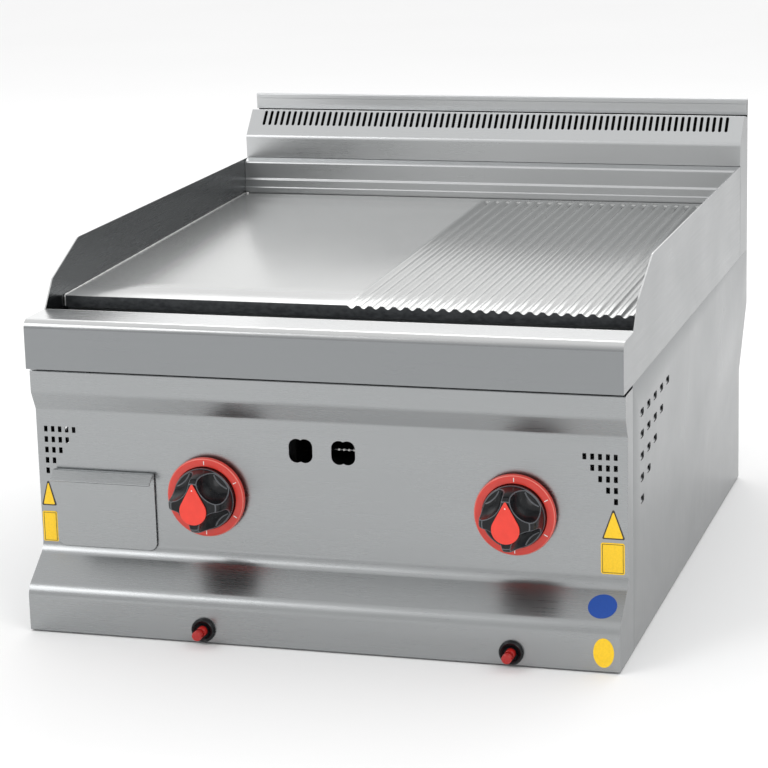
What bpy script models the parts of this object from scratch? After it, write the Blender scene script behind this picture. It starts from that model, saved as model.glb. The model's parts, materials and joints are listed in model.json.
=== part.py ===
"""Flat top gas griddle, 600 mm counter-top unit, as separate bodies.

Metres, +Z up, front towards -Y, right-hand side towards +X.
Every depth below is measured back from the nosing's front face; centre_depth() then moves
the whole unit so that its origin is under the middle of its bounding box.
"""
from math import atan2, cos, pi, radians, sin

import bmesh
import bpy
from mathutils import Matrix, Vector

# ---- driving dimensions -------------------------------------------------------------------
WIDTH = 0.600
HALF = WIDTH / 2
SHEET = 0.0015            # stainless sheet thickness
GAP = 0.0003              # clearance kept between touching pieces
INSIDE = HALF - SHEET - GAP

NOSE_BOTTOM = 0.2640      # underside of the worktop's front nosing
DECK_Z = 0.3136
NOSE_RADIUS = 0.009
DECK_BACK = 0.0520        # rear edge of the flat deck, where the grease gutter starts
GUARD_TOP = 0.3700
GUARD_BACK = 0.6705
SKIRT_BOTTOM = 0.0015

PLATE_FRONT = 0.0985
PLATE_BACK = 0.6515
PLATE_TOP_FRONT = 0.3180
PLATE_RISE = 0.0110       # the plate falls forward to the gutter by this much
PLATE_THICKNESS = 0.0120
RIB_COUNT = 24
RIB_DEPTH = 0.0030
RIB_END_MARGIN = 0.0120   # flat strip left behind the ribs

SPLASH_Y = 0.6570
FLUE_FACE = 0.6700
BACK_Y = 0.7220           # rear face of the flue
BODY_BACK = 0.6680        # rear face of the lower body
FLUE_TOP = 0.4420
SLOT_COUNT = 77
SLOT_PITCH = 0.0074
SLOT_WIDTH = 0.0036

SEAM_Y = 0.0425           # where the front panel's cheeks meet the side panels
BAND_Y = 0.0085
FACE_Y = 0.0175
SKIRT_Y = -0.0250

KNOB_Z = 0.1397
KNOB_X = {"left": -0.1200, "right": 0.1920}
KNOB_SKIRT_R = 0.0400
KNOB_GRIP_R = 0.0300
KNOB_FRONT = -0.0265
KNOB_TRAVEL = 0.0040      # how far a knob is pushed in before it turns
KNOB_BACK = FACE_Y - KNOB_TRAVEL - 0.0005

IGNITER_Z = 0.0147
IGNITER_X = {"left": -0.1150, "right": 0.1955}
BUTTON_TIP = -0.0470

DRAWER_X = (-0.2820, -0.1760)
DRAWER_Z = (0.0795, 0.1580)
TRAY_X = (DRAWER_X[0] + 0.0075, DRAWER_X[1] - 0.0075)
DRAWER_LENGTH = 0.3080
SPOUT_X = sum(DRAWER_X) / 2
SPOUT_Y = 0.0810

BURNER_Z = 0.2320
BURNER_X = 0.1450
PILOT_X = {"left": -0.0440, "right": 0.0020}
INLET_X = 0.2790
INLET_Z = 0.1080
SIDES = {"left": -1, "right": 1}

# ---- materials ----------------------------------------------------------------------------
LOOKS = {
    "stainless": ((0.56, 0.58, 0.59), 0.32, 1.0),
    "plate_steel": ((0.50, 0.51, 0.51), 0.28, 1.0),
    "galvanised": ((0.45, 0.46, 0.46), 0.50, 1.0),
    "cast_iron": ((0.05, 0.05, 0.05), 0.70, 0.6),
    "brass": ((0.70, 0.52, 0.22), 0.35, 1.0),
    "black_plastic": ((0.02, 0.02, 0.022), 0.25, 0.0),
    "red_plastic": ((0.75, 0.05, 0.03), 0.35, 0.0),
    "ceramic": ((0.85, 0.83, 0.78), 0.40, 0.0),
    "rubber": ((0.03, 0.03, 0.03), 0.80, 0.0),
}


def material(look):
    """One Principled material for each look, made when first asked for."""
    made = bpy.data.materials.get(look)
    if made:
        return made
    colour, roughness, metallic = LOOKS[look]
    made = bpy.data.materials.new(look)
    made.use_nodes = True
    shader = made.node_tree.nodes["Principled BSDF"]
    shader.inputs["Base Color"].default_value = (*colour, 1.0)
    shader.inputs["Roughness"].default_value = roughness
    shader.inputs["Metallic"].default_value = metallic
    return made


# ---- building blocks ----------------------------------------------------------------------
def clear_scene():
    for obj in list(bpy.data.objects):
        bpy.data.objects.remove(obj, do_unlink=True)


def add_object(name, bm, look, origin=(0, 0, 0)):
    """Close the bmesh into an object whose origin is at the given point."""
    bmesh.ops.recalc_face_normals(bm, faces=bm.faces)
    mesh = bpy.data.meshes.new(name)
    bm.to_mesh(mesh)
    bm.free()
    mesh.transform(Matrix.Translation(-Vector(origin)))
    obj = bpy.data.objects.new(name, mesh)
    obj.location = origin
    bpy.context.scene.collection.objects.link(obj)
    if look:
        mesh.materials.append(material(look))
    return obj


def smooth(obj, angle=35):
    obj.data.shade_smooth()
    obj.data.set_sharp_from_angle(angle=radians(angle))
    return obj


def axis_point(axis, along, u, v):
    """A point from its place along an axis and its two other coordinates, in X, Y, Z order."""
    return {"x": (along, u, v), "y": (u, along, v), "z": (u, v, along)}[axis]


def bm_prism(axis, outline, start, end, bm=None):
    """A flat outline in the two other axes, pushed along one axis from start to end."""
    bm = bm or bmesh.new()
    near = [bm.verts.new(axis_point(axis, start, u, v)) for u, v in outline]
    far = [bm.verts.new(axis_point(axis, end, u, v)) for u, v in outline]
    bm.faces.new(near)
    bm.faces.new(list(reversed(far)))
    count = len(outline)
    for i in range(count):
        j = (i + 1) % count
        bm.faces.new((near[i], far[i], far[j], near[j]))
    return bm


def prism(name, axis, outline, start, end, look):
    return add_object(name, bm_prism(axis, outline, start, end), look)


def rectangle(u0, u1, v0, v1):
    return [(u0, v0), (u1, v0), (u1, v1), (u0, v1)]


def box(name, low, high, look):
    return prism(name, "x", rectangle(low[1], high[1], low[2], high[2]), low[0], high[0], look)


def arc(cu, cv, radius, start, end, steps):
    """Points on an arc, with angles in degrees."""
    turns = [radians(start + (end - start) * i / steps) for i in range(steps + 1)]
    return [(cu + radius * cos(a), cv + radius * sin(a)) for a in turns]


def stadium(cu, cv, half_u, half_v, steps=3):
    """A round-ended slot outline, long in v."""
    straight = half_v - half_u
    top = arc(cu, cv + straight, half_u, 0, 180, steps)
    return top + arc(cu, cv - straight, half_u, 180, 360, steps)


def offset_line(line, distance):
    """The line moved sideways by a distance, with mitred corners."""
    moved = []
    for i, point in enumerate(line):
        here = Vector(point)
        before = (here - Vector(line[i - 1])).normalized() if i else None
        after = (Vector(line[i + 1]) - here).normalized() if i + 1 < len(line) else None
        first = before or after
        second = after or before
        normal = (Vector((-first.y, first.x)) + Vector((-second.y, second.x))).normalized()
        stretch = normal.dot(Vector((-first.y, first.x)))
        moved.append(tuple(here + normal * distance / stretch))
    return moved


def bm_bent_sheet(axis, line, start, end, thickness):
    """Sheet metal folded along a line, with its inner skin on the line's left-hand side."""
    bm = bmesh.new()
    inner = offset_line(line, thickness)
    rings = []
    for along in (start, end):
        outer_verts = [bm.verts.new(axis_point(axis, along, u, v)) for u, v in line]
        inner_verts = [bm.verts.new(axis_point(axis, along, u, v)) for u, v in inner]
        for i in range(len(line) - 1):
            bm.faces.new((outer_verts[i], outer_verts[i + 1], inner_verts[i + 1], inner_verts[i]))
        rings.append((outer_verts, inner_verts))
    (outer_a, inner_a), (outer_b, inner_b) = rings
    for i in range(len(line) - 1):
        bm.faces.new((outer_a[i], outer_a[i + 1], outer_b[i + 1], outer_b[i]))
        bm.faces.new((inner_a[i], inner_a[i + 1], inner_b[i + 1], inner_b[i]))
    for i in (0, len(line) - 1):
        bm.faces.new((outer_a[i], outer_b[i], inner_b[i], inner_a[i]))
    return bm


def bent_sheet(name, axis, line, start, end, look, thickness=SHEET):
    return add_object(name, bm_bent_sheet(axis, line, start, end, thickness), look)


def turned(name, axis, centre, profile, look, steps=24, origin=None, closed=False):
    """A profile of (radius, place along the axis) turned about an axis.

    An open profile starts and ends on the axis and gives a solid; a closed one gives a ring.
    """
    bm = bmesh.new()
    rings = []
    for radius, along in profile:
        if radius == 0:
            rings.append([bm.verts.new(axis_point(axis, along, *centre))])
            continue
        circle = arc(centre[0], centre[1], radius, 0, 360, steps)[:-1]
        rings.append([bm.verts.new(axis_point(axis, along, u, v)) for u, v in circle])
    pairs = list(zip(rings, rings[1:]))
    if closed:
        pairs.append((rings[-1], rings[0]))
    for first, second in pairs:
        for i in range(steps):
            j = (i + 1) % steps
            corners = [first[i % len(first)], first[j % len(first)],
                       second[j % len(second)], second[i % len(second)]]
            unique = list(dict.fromkeys(corners))
            if len(unique) > 2:
                bm.faces.new(unique)
    place = origin or axis_point(axis, profile[0][1], *centre)
    return smooth(add_object(name, bm, look, place))


def rod(name, axis, centre, radius, start, end, look, steps=16):
    profile = [(0, start), (radius, start), (radius, end), (0, end)]
    return turned(name, axis, centre, profile, look, steps)


def tube_curve(name, points, radius, look, resolution=2):
    """A round bar along a smooth route, as a curve with filled caps."""
    curve = bpy.data.curves.new(name, "CURVE")
    curve.dimensions = "3D"
    curve.bevel_depth = radius
    curve.bevel_resolution = resolution
    curve.use_fill_caps = True
    spline = curve.splines.new("POLY")
    spline.points.add(len(points) - 1)
    for target, point in zip(spline.points, points):
        target.co = (*point, 1)
    curve.materials.append(material(look))
    obj = bpy.data.objects.new(name, curve)
    bpy.context.scene.collection.objects.link(obj)
    return obj


def rounded_route(corners, radius, steps=4):
    """A route through the corners, with each inner corner rounded by a quadratic curve."""
    route = [Vector(corners[0])]
    for before, corner, after in zip(corners, corners[1:], corners[2:]):
        corner = Vector(corner)
        start = corner + (Vector(before) - corner).normalized() * radius
        end = corner + (Vector(after) - corner).normalized() * radius
        for i in range(steps + 1):
            t = i / steps
            route.append(start * (1 - t) ** 2 + corner * 2 * t * (1 - t) + end * t * t)
    route.append(Vector(corners[-1]))
    return route


def combine(obj, others, operation):
    """Join or cut an object with others, and remove the others."""
    for other in others:
        modifier = obj.modifiers.new(operation, "BOOLEAN")
        modifier.operation = operation
        modifier.solver = "EXACT"
        modifier.object = other
    view = bpy.context.view_layer
    view.update()
    result = bpy.data.meshes.new_from_object(obj.evaluated_get(view.depsgraph))
    obj.modifiers.clear()
    obj.data = result
    bm = bmesh.new()
    bm.from_mesh(result)
    bmesh.ops.remove_doubles(bm, verts=bm.verts, dist=1e-6)
    bmesh.ops.dissolve_limit(bm, angle_limit=radians(0.2), verts=bm.verts, edges=bm.edges)
    bm.to_mesh(result)
    bm.free()
    for other in others:
        bpy.data.objects.remove(other, do_unlink=True)
    return obj


def cut(obj, *cutters):
    return combine(obj, cutters, "DIFFERENCE")


def join(obj, *others):
    return combine(obj, others, "UNION")


def hole_set(axis, outlines, start, end):
    """Cutters for a group of separate holes, in one object."""
    bm = bmesh.new()
    for outline in outlines:
        bm_prism(axis, outline, start, end, bm)
    return add_object("hole_set", bm, None)


# ---- worktop ------------------------------------------------------------------------------
def nose_curve(steps=5):
    """The nosing's front face and bull nose, from its lower edge to the deck."""
    curve = arc(NOSE_RADIUS, DECK_Z - NOSE_RADIUS, NOSE_RADIUS, 180, 90, steps)
    return [(0, NOSE_BOTTOM)] + curve


def front_nosing():
    line = [(0.016, NOSE_BOTTOM)] + nose_curve() + [(DECK_BACK, DECK_Z), (DECK_BACK, 0.3020)]
    sheet = bent_sheet("front_nosing", "x", line, -INSIDE, INSIDE, "stainless", -SHEET)
    return smooth(sheet)


def splash_guard(side):
    """The worktop's side plate: nosing end, low shoulder and the guard that rises behind it."""
    outline = nose_curve() + [(DECK_BACK, DECK_Z), (0.0720, 0.3385), (0.0800, 0.3432),
                              (0.1420, 0.3695), (0.1450, GUARD_TOP), (GUARD_BACK, GUARD_TOP),
                              (GUARD_BACK, NOSE_BOTTOM)]
    sign = SIDES[side]
    return prism(f"{side}_splash_guard", "x", outline, sign * (HALF - SHEET), sign * HALF,
                 "stainless")


def plate_top(depth):
    """Height of the plate's smooth top at a depth."""
    return PLATE_TOP_FRONT + PLATE_RISE * (depth - PLATE_FRONT) / (PLATE_BACK - PLATE_FRONT)


def griddle_plate():
    """One steel plate, smooth on the left and ribbed on the right, sloping to the front."""
    pitch = INSIDE / RIB_COUNT
    wave = [(0.0, 1.0), (0.28, 1.0), (0.44, 0.35), (0.56, 0.0), (0.72, 0.0), (0.88, 0.35)]
    ribbed = [(rib * pitch + share * pitch, level) for rib in range(RIB_COUNT)
              for share, level in wave]
    across = [(-INSIDE, 1.0)] + ribbed + [(INSIDE, 1.0)]
    ribs_end = PLATE_BACK - RIB_END_MARGIN
    bm = bmesh.new()
    sections = []
    for depth, relief in ((PLATE_FRONT, 1), (ribs_end - 0.006, 1), (ribs_end, 0), (PLATE_BACK, 0)):
        top = plate_top(depth)
        row = [(x, depth, top - RIB_DEPTH * (1 - level) * relief) for x, level in across]
        row += [(INSIDE, depth, top - PLATE_THICKNESS), (-INSIDE, depth, top - PLATE_THICKNESS)]
        sections.append([bm.verts.new(point) for point in row])
    for near, far in zip(sections, sections[1:]):
        for i in range(len(near)):
            j = (i + 1) % len(near)
            bm.faces.new((near[i], near[j], far[j], far[i]))
    bm.faces.new(sections[0])
    bm.faces.new(sections[-1])
    bmesh.ops.dissolve_limit(bm, angle_limit=radians(0.05), verts=bm.verts, edges=bm.edges)
    return add_object("griddle_plate", bm, "plate_steel")


def grease_gutter():
    line = [(0.0538, 0.3115), (0.0538, 0.2715), (0.0680, 0.2700), (0.0940, 0.2700),
            (0.1080, 0.2715), (0.1080, 0.3045)]
    gutter = bent_sheet("grease_gutter", "x", line, -INSIDE, INSIDE, "stainless")
    ends = [box("gutter_end", (x, 0.0542, 0.2718), (x + SHEET, 0.1076, 0.3000), "stainless")
            for x in (-INSIDE, INSIDE - SHEET)]
    join(gutter, *ends)
    drain = rod("drain_hole", "z", (SPOUT_X, SPOUT_Y), 0.0105, 0.26, 0.28, None)
    return cut(gutter, drain)


def drain_spout():
    profile = [(0.0105, 0.2697), (0.0175, 0.2697), (0.0175, 0.2682), (0.0120, 0.2682),
               (0.0120, 0.1580), (0.0105, 0.1580)]
    return turned("drain_spout", "z", (SPOUT_X, SPOUT_Y), profile, "stainless", 20, closed=True)


def plate_rail(side):
    """Steel bar that carries the plate's edge and follows its slope."""
    start, end = 0.1150, 0.6450
    under = PLATE_THICKNESS + GAP
    outline = [(start, 0.2900), (end, 0.3000), (end, plate_top(end) - under),
               (start, plate_top(start) - under)]
    sign = SIDES[side]
    return prism(f"plate_rail_{side}", "x", outline, sign * 0.2850, sign * 0.2970, "galvanised")


# ---- flue and splashback ------------------------------------------------------------------
def rear_splashback():
    line = [(0.6550, 0.3200), (0.6550, 0.3450), (SPLASH_Y, 0.3470), (SPLASH_Y, 0.3668),
            (0.6670, 0.3700)]
    return bent_sheet("rear_splashback", "x", line, -INSIDE, INSIDE, "stainless", -SHEET)


def flue_profile():
    """Front of the flue from its lower edge, up the face and the slotted slope to its lip."""
    return [(FLUE_FACE + 0.003, 0.3703), (FLUE_FACE, 0.3725), (FLUE_FACE, 0.3990),
            (0.6755, 0.4020), (0.6970, 0.4247), (0.7120, 0.4220)]


def slot_cutters():
    """Tall slots pushed through the slope, square to it."""
    low, high = Vector((0.6755, 0.4020)), Vector((0.6970, 0.4247))
    slope = atan2(high.y - low.y, high.x - low.x)
    cutters = hole_set("z", [stadium((i - (SLOT_COUNT - 1) / 2) * SLOT_PITCH, 0,
                                     SLOT_WIDTH / 2, 0.0105, 2) for i in range(SLOT_COUNT)],
                       -0.006, 0.006)
    middle = (low + high) / 2 + (high - low).normalized() * 0.0030
    cutters.matrix_world = (Matrix.Translation((0, middle.x, middle.y))
                            @ Matrix.Rotation(slope, 4, "X"))
    return cutters


def flue_cover():
    """Slotted front and both cheeks of the flue, folded from one sheet."""
    line = flue_profile()
    cover = bent_sheet("flue_cover", "x", line, -HALF, HALF, "stainless", -SHEET)
    cheek = [(FLUE_FACE + 0.0018, NOSE_BOTTOM), (0.7200, NOSE_BOTTOM), (0.7200, 0.4200),
             (0.7120, 0.4220), (0.6970, 0.4247), (0.6755, 0.4020), (FLUE_FACE, 0.3990),
             (FLUE_FACE, 0.3725), (FLUE_FACE + 0.0018, 0.3712)]
    cheeks = [prism("cheek", "x", cheek, sign * (HALF - SHEET), sign * HALF, "stainless")
              for sign in SIDES.values()]
    join(cover, *cheeks)
    return cut(cover, slot_cutters())


def flue_back_panel():
    """Rear sheet of the flue, with its top folded forward into the upstand."""
    line = [(BACK_Y, NOSE_BOTTOM), (BACK_Y, FLUE_TOP), (0.7135, FLUE_TOP), (0.7135, 0.4235)]
    return bent_sheet("flue_back_panel", "x", line, -HALF, HALF, "stainless", SHEET)


def flue_baffle():
    line = [(0.6420, 0.1785), (0.6600, 0.1785), (0.7170, 0.2200)]
    return bent_sheet("flue_baffle", "x", line, -0.2960, 0.2960, "galvanised", 0.0010)


# ---- body ---------------------------------------------------------------------------------
def rear_line():
    """Rear face of the body from the bottom up, out to the flue's depth."""
    return [(BODY_BACK, SKIRT_BOTTOM), (BODY_BACK, 0.1300), (BACK_Y, 0.2000),
            (BACK_Y, NOSE_BOTTOM - GAP)]


def rear_panel():
    panel = bent_sheet("rear_panel", "x", rear_line(), -INSIDE, INSIDE, "stainless")
    holes = [rod("inlet_hole", "y", (INLET_X, INLET_Z), 0.0130, 0.65, 0.68, None)]
    vents = [stadium(0.0300 * i, 0.0600, 0.0030, 0.0200, 2) for i in range(-4, 5)]
    holes.append(hole_set("y", vents, 0.65, 0.68))
    return cut(panel, *holes)


def side_panel(side):
    outline = [(SEAM_Y, SKIRT_BOTTOM)] + rear_line() + [(SEAM_Y, NOSE_BOTTOM - GAP)]
    sign = SIDES[side]
    inner, outer = sign * (HALF - SHEET), sign * HALF
    panel = prism(f"{side}_side_panel", "x", outline, inner, outer, "stainless")
    slots = []
    for row in range(5):
        for column in range(5 - row):
            y = 0.0860 + column * 0.0330
            z = 0.2268 - row * 0.0216
            slots.append([(v, u) for u, v in stadium(z, y, 0.0038, 0.0090, 2)])
    return cut(panel, hole_set("x", slots, sign * 0.28, sign * 0.32))


def front_line():
    """Front panel's outer face from its top flange down to its bottom flange."""
    top, bottom = 0.2595, SKIRT_BOTTOM
    return [(0.0360, top), (BAND_Y + 0.002, top), (BAND_Y, top - 0.003),
            (BAND_Y - 0.0007, 0.2480), (BAND_Y, 0.2380),
            (FACE_Y - 0.001, 0.2215), (FACE_Y, 0.2185), (FACE_Y, 0.0790),
            (FACE_Y - 0.002, 0.0745), (SKIRT_Y + 0.003, 0.0470), (SKIRT_Y, 0.0420),
            (SKIRT_Y, bottom), (SKIRT_Y + 0.0120, bottom)]


def front_vents():
    """Two triangles of small square-cornered vents, mirrored left and right."""
    vents = []
    for row in range(5):
        z = 0.1991 - row * 0.0108
        for column in range(5 - row):
            for x in (-0.2903 + column * 0.0075, 0.2883 - column * 0.0075):
                vents.append(rectangle(x - 0.0019, x + 0.0019, z - 0.0030, z + 0.0030))
    return vents


def peephole(x, z=0.1897):
    """Two round-ended slots side by side that run into each other."""
    pair = [stadium(x + shift, z, 0.0078, 0.0120, 8) for shift in (-0.0043, 0.0043)]
    cutters = [hole_set("y", [outline], 0.0, 0.03) for outline in pair]
    return join(*cutters)


def front_panel():
    """One bent sheet: top band, recessed control face and rolled-out skirt, with two cheeks."""
    line = front_line()
    panel = bent_sheet("front_panel", "x", line, -HALF, HALF, "stainless")
    cheek = line[1:-1] + [(SEAM_Y - GAP, line[-1][1]), (SEAM_Y - GAP, line[0][1])]
    cheeks = [prism("cheek", "x", cheek, sign * (HALF - SHEET), sign * HALF, "stainless")
              for sign in SIDES.values()]
    join(panel, *cheeks)
    cutters = [hole_set("y", front_vents(), 0.0, 0.03), peephole(-0.0229), peephole(0.0204)]
    aperture = rectangle(TRAY_X[0] - 0.0015, TRAY_X[1] + 0.0015,
                         DRAWER_Z[0] + 0.0070, DRAWER_Z[1] - 0.0095)
    cutters.append(hole_set("y", [aperture], 0.0, 0.03))
    for side in SIDES:
        cutters.append(rod("hole", "y", (KNOB_X[side], KNOB_Z), 0.0090, 0.0, 0.03, None))
        cutters.append(rod("hole", "y", (IGNITER_X[side], IGNITER_Z), 0.0062, -0.03, 0.0, None))
    return cut(panel, *cutters)


def base_pan():
    """Shallow folded tray that closes the bottom of the body."""
    pan = box("base_pan", (-0.2965, 0.0340, 0.0060), (0.2965, 0.6655, 0.0240), "galvanised")
    inner = box("inner", (-0.2950, 0.0355, 0.0075), (0.2950, 0.6640, 0.0300), None)
    return cut(pan, inner)


def foot(name, x, y):
    profile = [(0, 0), (0.0140, 0), (0.0150, 0.0010), (0.0150, 0.0057), (0, 0.0057)]
    return turned(name, "z", (x, y), profile, "rubber", 20)


def feet():
    for depth_name, y in (("front", 0.0700), ("rear", 0.6200)):
        for side, sign in SIDES.items():
            foot(f"foot_{depth_name}_{side}", sign * 0.2600, y)


# ---- combustion and gas -------------------------------------------------------------------
def front_heat_shield():
    """Screen between the controls and the fire, notched over the grease drawer."""
    outline = [(-0.2965, 0.1600), (-0.1650, 0.1600), (-0.1650, 0.0260), (0.2965, 0.0260),
               (0.2965, 0.2690), (-0.2965, 0.2690)]
    shield = prism("front_heat_shield", "y", outline, 0.1120, 0.1132, "galvanised")
    cutters = [rod("hole", "y", (INLET_X, INLET_Z), 0.0120, 0.10, 0.13, None)]
    for sign in SIDES.values():
        cutters.append(rod("hole", "y", (sign * BURNER_X, BURNER_Z), 0.0215, 0.10, 0.13, None))
    cutters.append(box("window", (-0.0600, 0.10, 0.1480), (0.0420, 0.13, 0.2050), None))
    return cut(shield, *cutters)


def combustion_box():
    line = [(-0.2620, 0.2860), (-0.2620, 0.1800), (0.2620, 0.1800), (0.2620, 0.2860)]
    return bent_sheet("combustion_box", "y", line, 0.1520, 0.6400, "galvanised", 0.0012)


def burner(side):
    """Two-arm tubular burner with one mixing tube that comes forward through the shield."""
    sign = SIDES[side]
    middle = sign * BURNER_X
    body = rod(f"burner_{side}", "x", (0.1500, BURNER_Z), 0.0150, middle - 0.0700,
               middle + 0.0700, "cast_iron", 12)
    parts = [rod("arm", "y", (middle + shift, BURNER_Z), 0.0160, 0.1480, 0.6000, "cast_iron", 12)
             for shift in (-0.0620, 0.0620)]
    parts.append(rod("mixer", "y", (middle, BURNER_Z), 0.0180, 0.0960, 0.1500, "cast_iron", 12))
    mouth = rod("mouth", "y", (middle, BURNER_Z), 0.0145, 0.0900, 0.1340, None, 12)
    return smooth(cut(join(body, *parts), mouth))


def burner_rest():
    """Angle bar across the fire box that carries the burners' far ends."""
    line = [(0.5600, BURNER_Z - 0.0163), (0.5600, 0.1815), (0.5800, 0.1815)]
    return bent_sheet("burner_rest", "x", line, -0.2550, 0.2550, "galvanised", 0.0015)


def injector(side):
    centre = (SIDES[side] * BURNER_X, BURNER_Z)
    profile = [(0, 0.0700), (0.0080, 0.0700), (0.0080, 0.0800), (0.0055, 0.0820),
               (0.0055, 0.0900), (0.0030, 0.0930), (0, 0.0930)]
    return turned(f"injector_{side}", "y", centre, profile, "brass", 12)


def gas_manifold():
    route = rounded_route([(-0.1500, 0.0600, INLET_Z), (INLET_X, 0.0600, INLET_Z),
                           (INLET_X, 0.6360, INLET_Z)], 0.0300, 5)
    return tube_curve("gas_manifold", route, 0.0095, "galvanised", 2)


def gas_inlet_nipple():
    profile = [(0, 0.6364), (0.0110, 0.6364), (0.0110, 0.6560), (0.0160, 0.6560),
               (0.0160, 0.6640), (0.0105, 0.6640), (0.0105, 0.7000), (0.0070, 0.7000),
               (0.0070, 0.6700), (0, 0.6700)]
    return turned("gas_inlet_nipple", "y", (INLET_X, INLET_Z), profile, "brass", 16)


def gas_valve(side):
    """Brass tap body on the manifold, bored for its spindle, with the outlet on top."""
    x = KNOB_X[side]
    profile = [(0, 0.0720), (0.0140, 0.0720), (0.0140, 0.0480), (0.0110, 0.0440),
               (0.0110, 0.0400), (0.0046, 0.0400), (0.0046, 0.0560), (0, 0.0560)]
    body = turned(f"gas_valve_{side}", "y", (x, KNOB_Z), profile, "brass", 16)
    saddle = box("saddle", (x - 0.0110, 0.0520, 0.1180), (x + 0.0110, 0.0680, 0.1280), "brass")
    outlet = rod("outlet", "z", (x, 0.0620), 0.0070, 0.1450, 0.1620, "brass", 12)
    return join(body, saddle, outlet)


def gas_tube(side):
    """Bent tube from the tap's outlet up to the injector."""
    x = KNOB_X[side]
    end_x = SIDES[side] * BURNER_X
    route = rounded_route([(x, 0.0620, 0.1624), (x, 0.0620, 0.1950), (end_x, 0.0750, 0.2080),
                           (end_x, 0.0750, BURNER_Z - 0.0084)], 0.0100, 3)
    return tube_curve(f"gas_tube_{side}", route, 0.0040, "brass", 1)


def pilot_bracket():
    line = [(0.1350, 0.1450), (0.1136, 0.1450), (0.1136, 0.1280)]
    return bent_sheet("pilot_bracket", "x", line, -0.0560, 0.0380, "galvanised", 0.0012)


def pilot_burner(side):
    """Short hooded pilot with a perforated head, stood on its bracket."""
    profile = [(0, 0.1453), (0.0040, 0.1453), (0.0040, 0.1750), (0.0055, 0.1750),
               (0.0055, 0.1940), (0.0030, 0.1970), (0, 0.1970)]
    return turned(f"pilot_burner_{side}", "z", (PILOT_X[side], 0.1260), profile, "brass", 12)


def spark_electrode(side):
    profile = [(0, 0.1453), (0.0030, 0.1453), (0.0030, 0.1880), (0.0010, 0.1890),
               (0.0010, 0.1990), (0, 0.1990)]
    return turned(f"spark_electrode_{side}", "z", (PILOT_X[side] + 0.0120, 0.1260), profile,
                  "ceramic", 10)


# ---- controls -----------------------------------------------------------------------------
def valve_spindle(side):
    centre = (KNOB_X[side], KNOB_Z)
    return rod(f"valve_spindle_{side}", "y", centre, 0.0040, -0.0100, 0.0460, "galvanised", 12)


def spring_collar(side):
    """Collar that rides on the spindle and carries the knob's push against its spring."""
    profile = [(0.0045, 0.0280), (0.0080, 0.0280), (0.0080, 0.0330), (0.0045, 0.0330)]
    return turned(f"spring_collar_{side}", "y", (KNOB_X[side], KNOB_Z), profile, "galvanised",
                  16, closed=True)


def knob_skirt(side):
    inner = KNOB_GRIP_R + 0.0015
    front = KNOB_BACK - 0.0055
    profile = [(inner, front), (KNOB_SKIRT_R - 0.0010, front), (KNOB_SKIRT_R, front + 0.0015),
               (KNOB_SKIRT_R, KNOB_BACK), (inner, KNOB_BACK)]
    return turned(f"knob_skirt_{side}", "y", (KNOB_X[side], KNOB_Z), profile, "red_plastic", 40,
                  closed=True)


def knob_grip(side):
    """Round grip with four deep finger flutes, bored from behind for the spindle."""
    x = KNOB_X[side]
    base = KNOB_GRIP_R + 0.0012
    profile = [(0, KNOB_FRONT), (0.0235, KNOB_FRONT), (0.0280, KNOB_FRONT + 0.0060),
               (KNOB_GRIP_R, 0.0030), (base, 0.0050), (base, KNOB_BACK), (0.0043, KNOB_BACK),
               (0.0043, -0.0104), (0, -0.0104)]
    grip = turned(f"knob_grip_{side}", "y", (x, KNOB_Z), profile, "black_plastic", 32)
    flutes = []
    for quarter in range(4):
        angle = pi / 4 + quarter * pi / 2
        centre = (x + 0.0345 * cos(angle), KNOB_Z + 0.0345 * sin(angle))
        flutes.append(rod("flute", "y", centre, 0.0185, KNOB_FRONT - 0.01, -0.0010, None, 24))
    return smooth(cut(grip, *flutes))


def teardrop(steps=10):
    """Outline of the insert: a round lower end drawn up to a point."""
    radius, point = 0.0138, 0.0245
    tangent = 28
    round_end = arc(0, -0.0040, radius, tangent, -180 - tangent, steps)
    return round_end + [(-0.0012, point - 0.002), (0, point - 0.001), (0.0012, point - 0.002)]


def knob_insert(side):
    x = KNOB_X[side]
    outline = [(x + u, KNOB_Z + v) for u, v in teardrop()]
    bm = bm_prism("y", outline, KNOB_FRONT - 0.0021, KNOB_FRONT - GAP)
    return add_object(f"knob_insert_{side}", bm, "red_plastic", (x, KNOB_FRONT, KNOB_Z))


def igniter_bezel(side):
    profile = [(0.0056, -0.0253), (0.0120, -0.0253), (0.0120, -0.0275), (0.0105, -0.0300),
               (0.0080, -0.0290), (0.0056, -0.0290)]
    return turned(f"igniter_bezel_{side}", "y", (IGNITER_X[side], IGNITER_Z), profile,
                  "black_plastic", 24, closed=True)


def igniter_button(side):
    profile = [(0, BUTTON_TIP), (0.0042, BUTTON_TIP), (0.0050, BUTTON_TIP + 0.001),
               (0.0050, -0.0130), (0, -0.0130)]
    return turned(f"igniter_button_{side}", "y", (IGNITER_X[side], IGNITER_Z), profile,
                  "red_plastic", 20)


def igniter_body(side):
    """Piezo body behind the skirt, bored for the button's stem."""
    profile = [(0, 0.0300), (0.0092, 0.0300), (0.0092, -0.0232), (0.0055, -0.0232),
               (0.0055, -0.0060), (0, -0.0060)]
    return turned(f"igniter_body_{side}", "y", (IGNITER_X[side], IGNITER_Z), profile,
                  "black_plastic", 16)


# ---- grease drawer ------------------------------------------------------------------------
def drawer_tray():
    low = (TRAY_X[0], 0.0163, DRAWER_Z[0] + 0.0090)
    high = (TRAY_X[1], 0.0163 + DRAWER_LENGTH, DRAWER_Z[1] - 0.0115)
    tray = box("drawer_tray", low, high, "stainless")
    wall = 0.0012
    inner = box("inner", tuple(v + wall for v in low), (high[0] - wall, high[1] - wall, 0.2), None)
    return cut(tray, inner)


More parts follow.
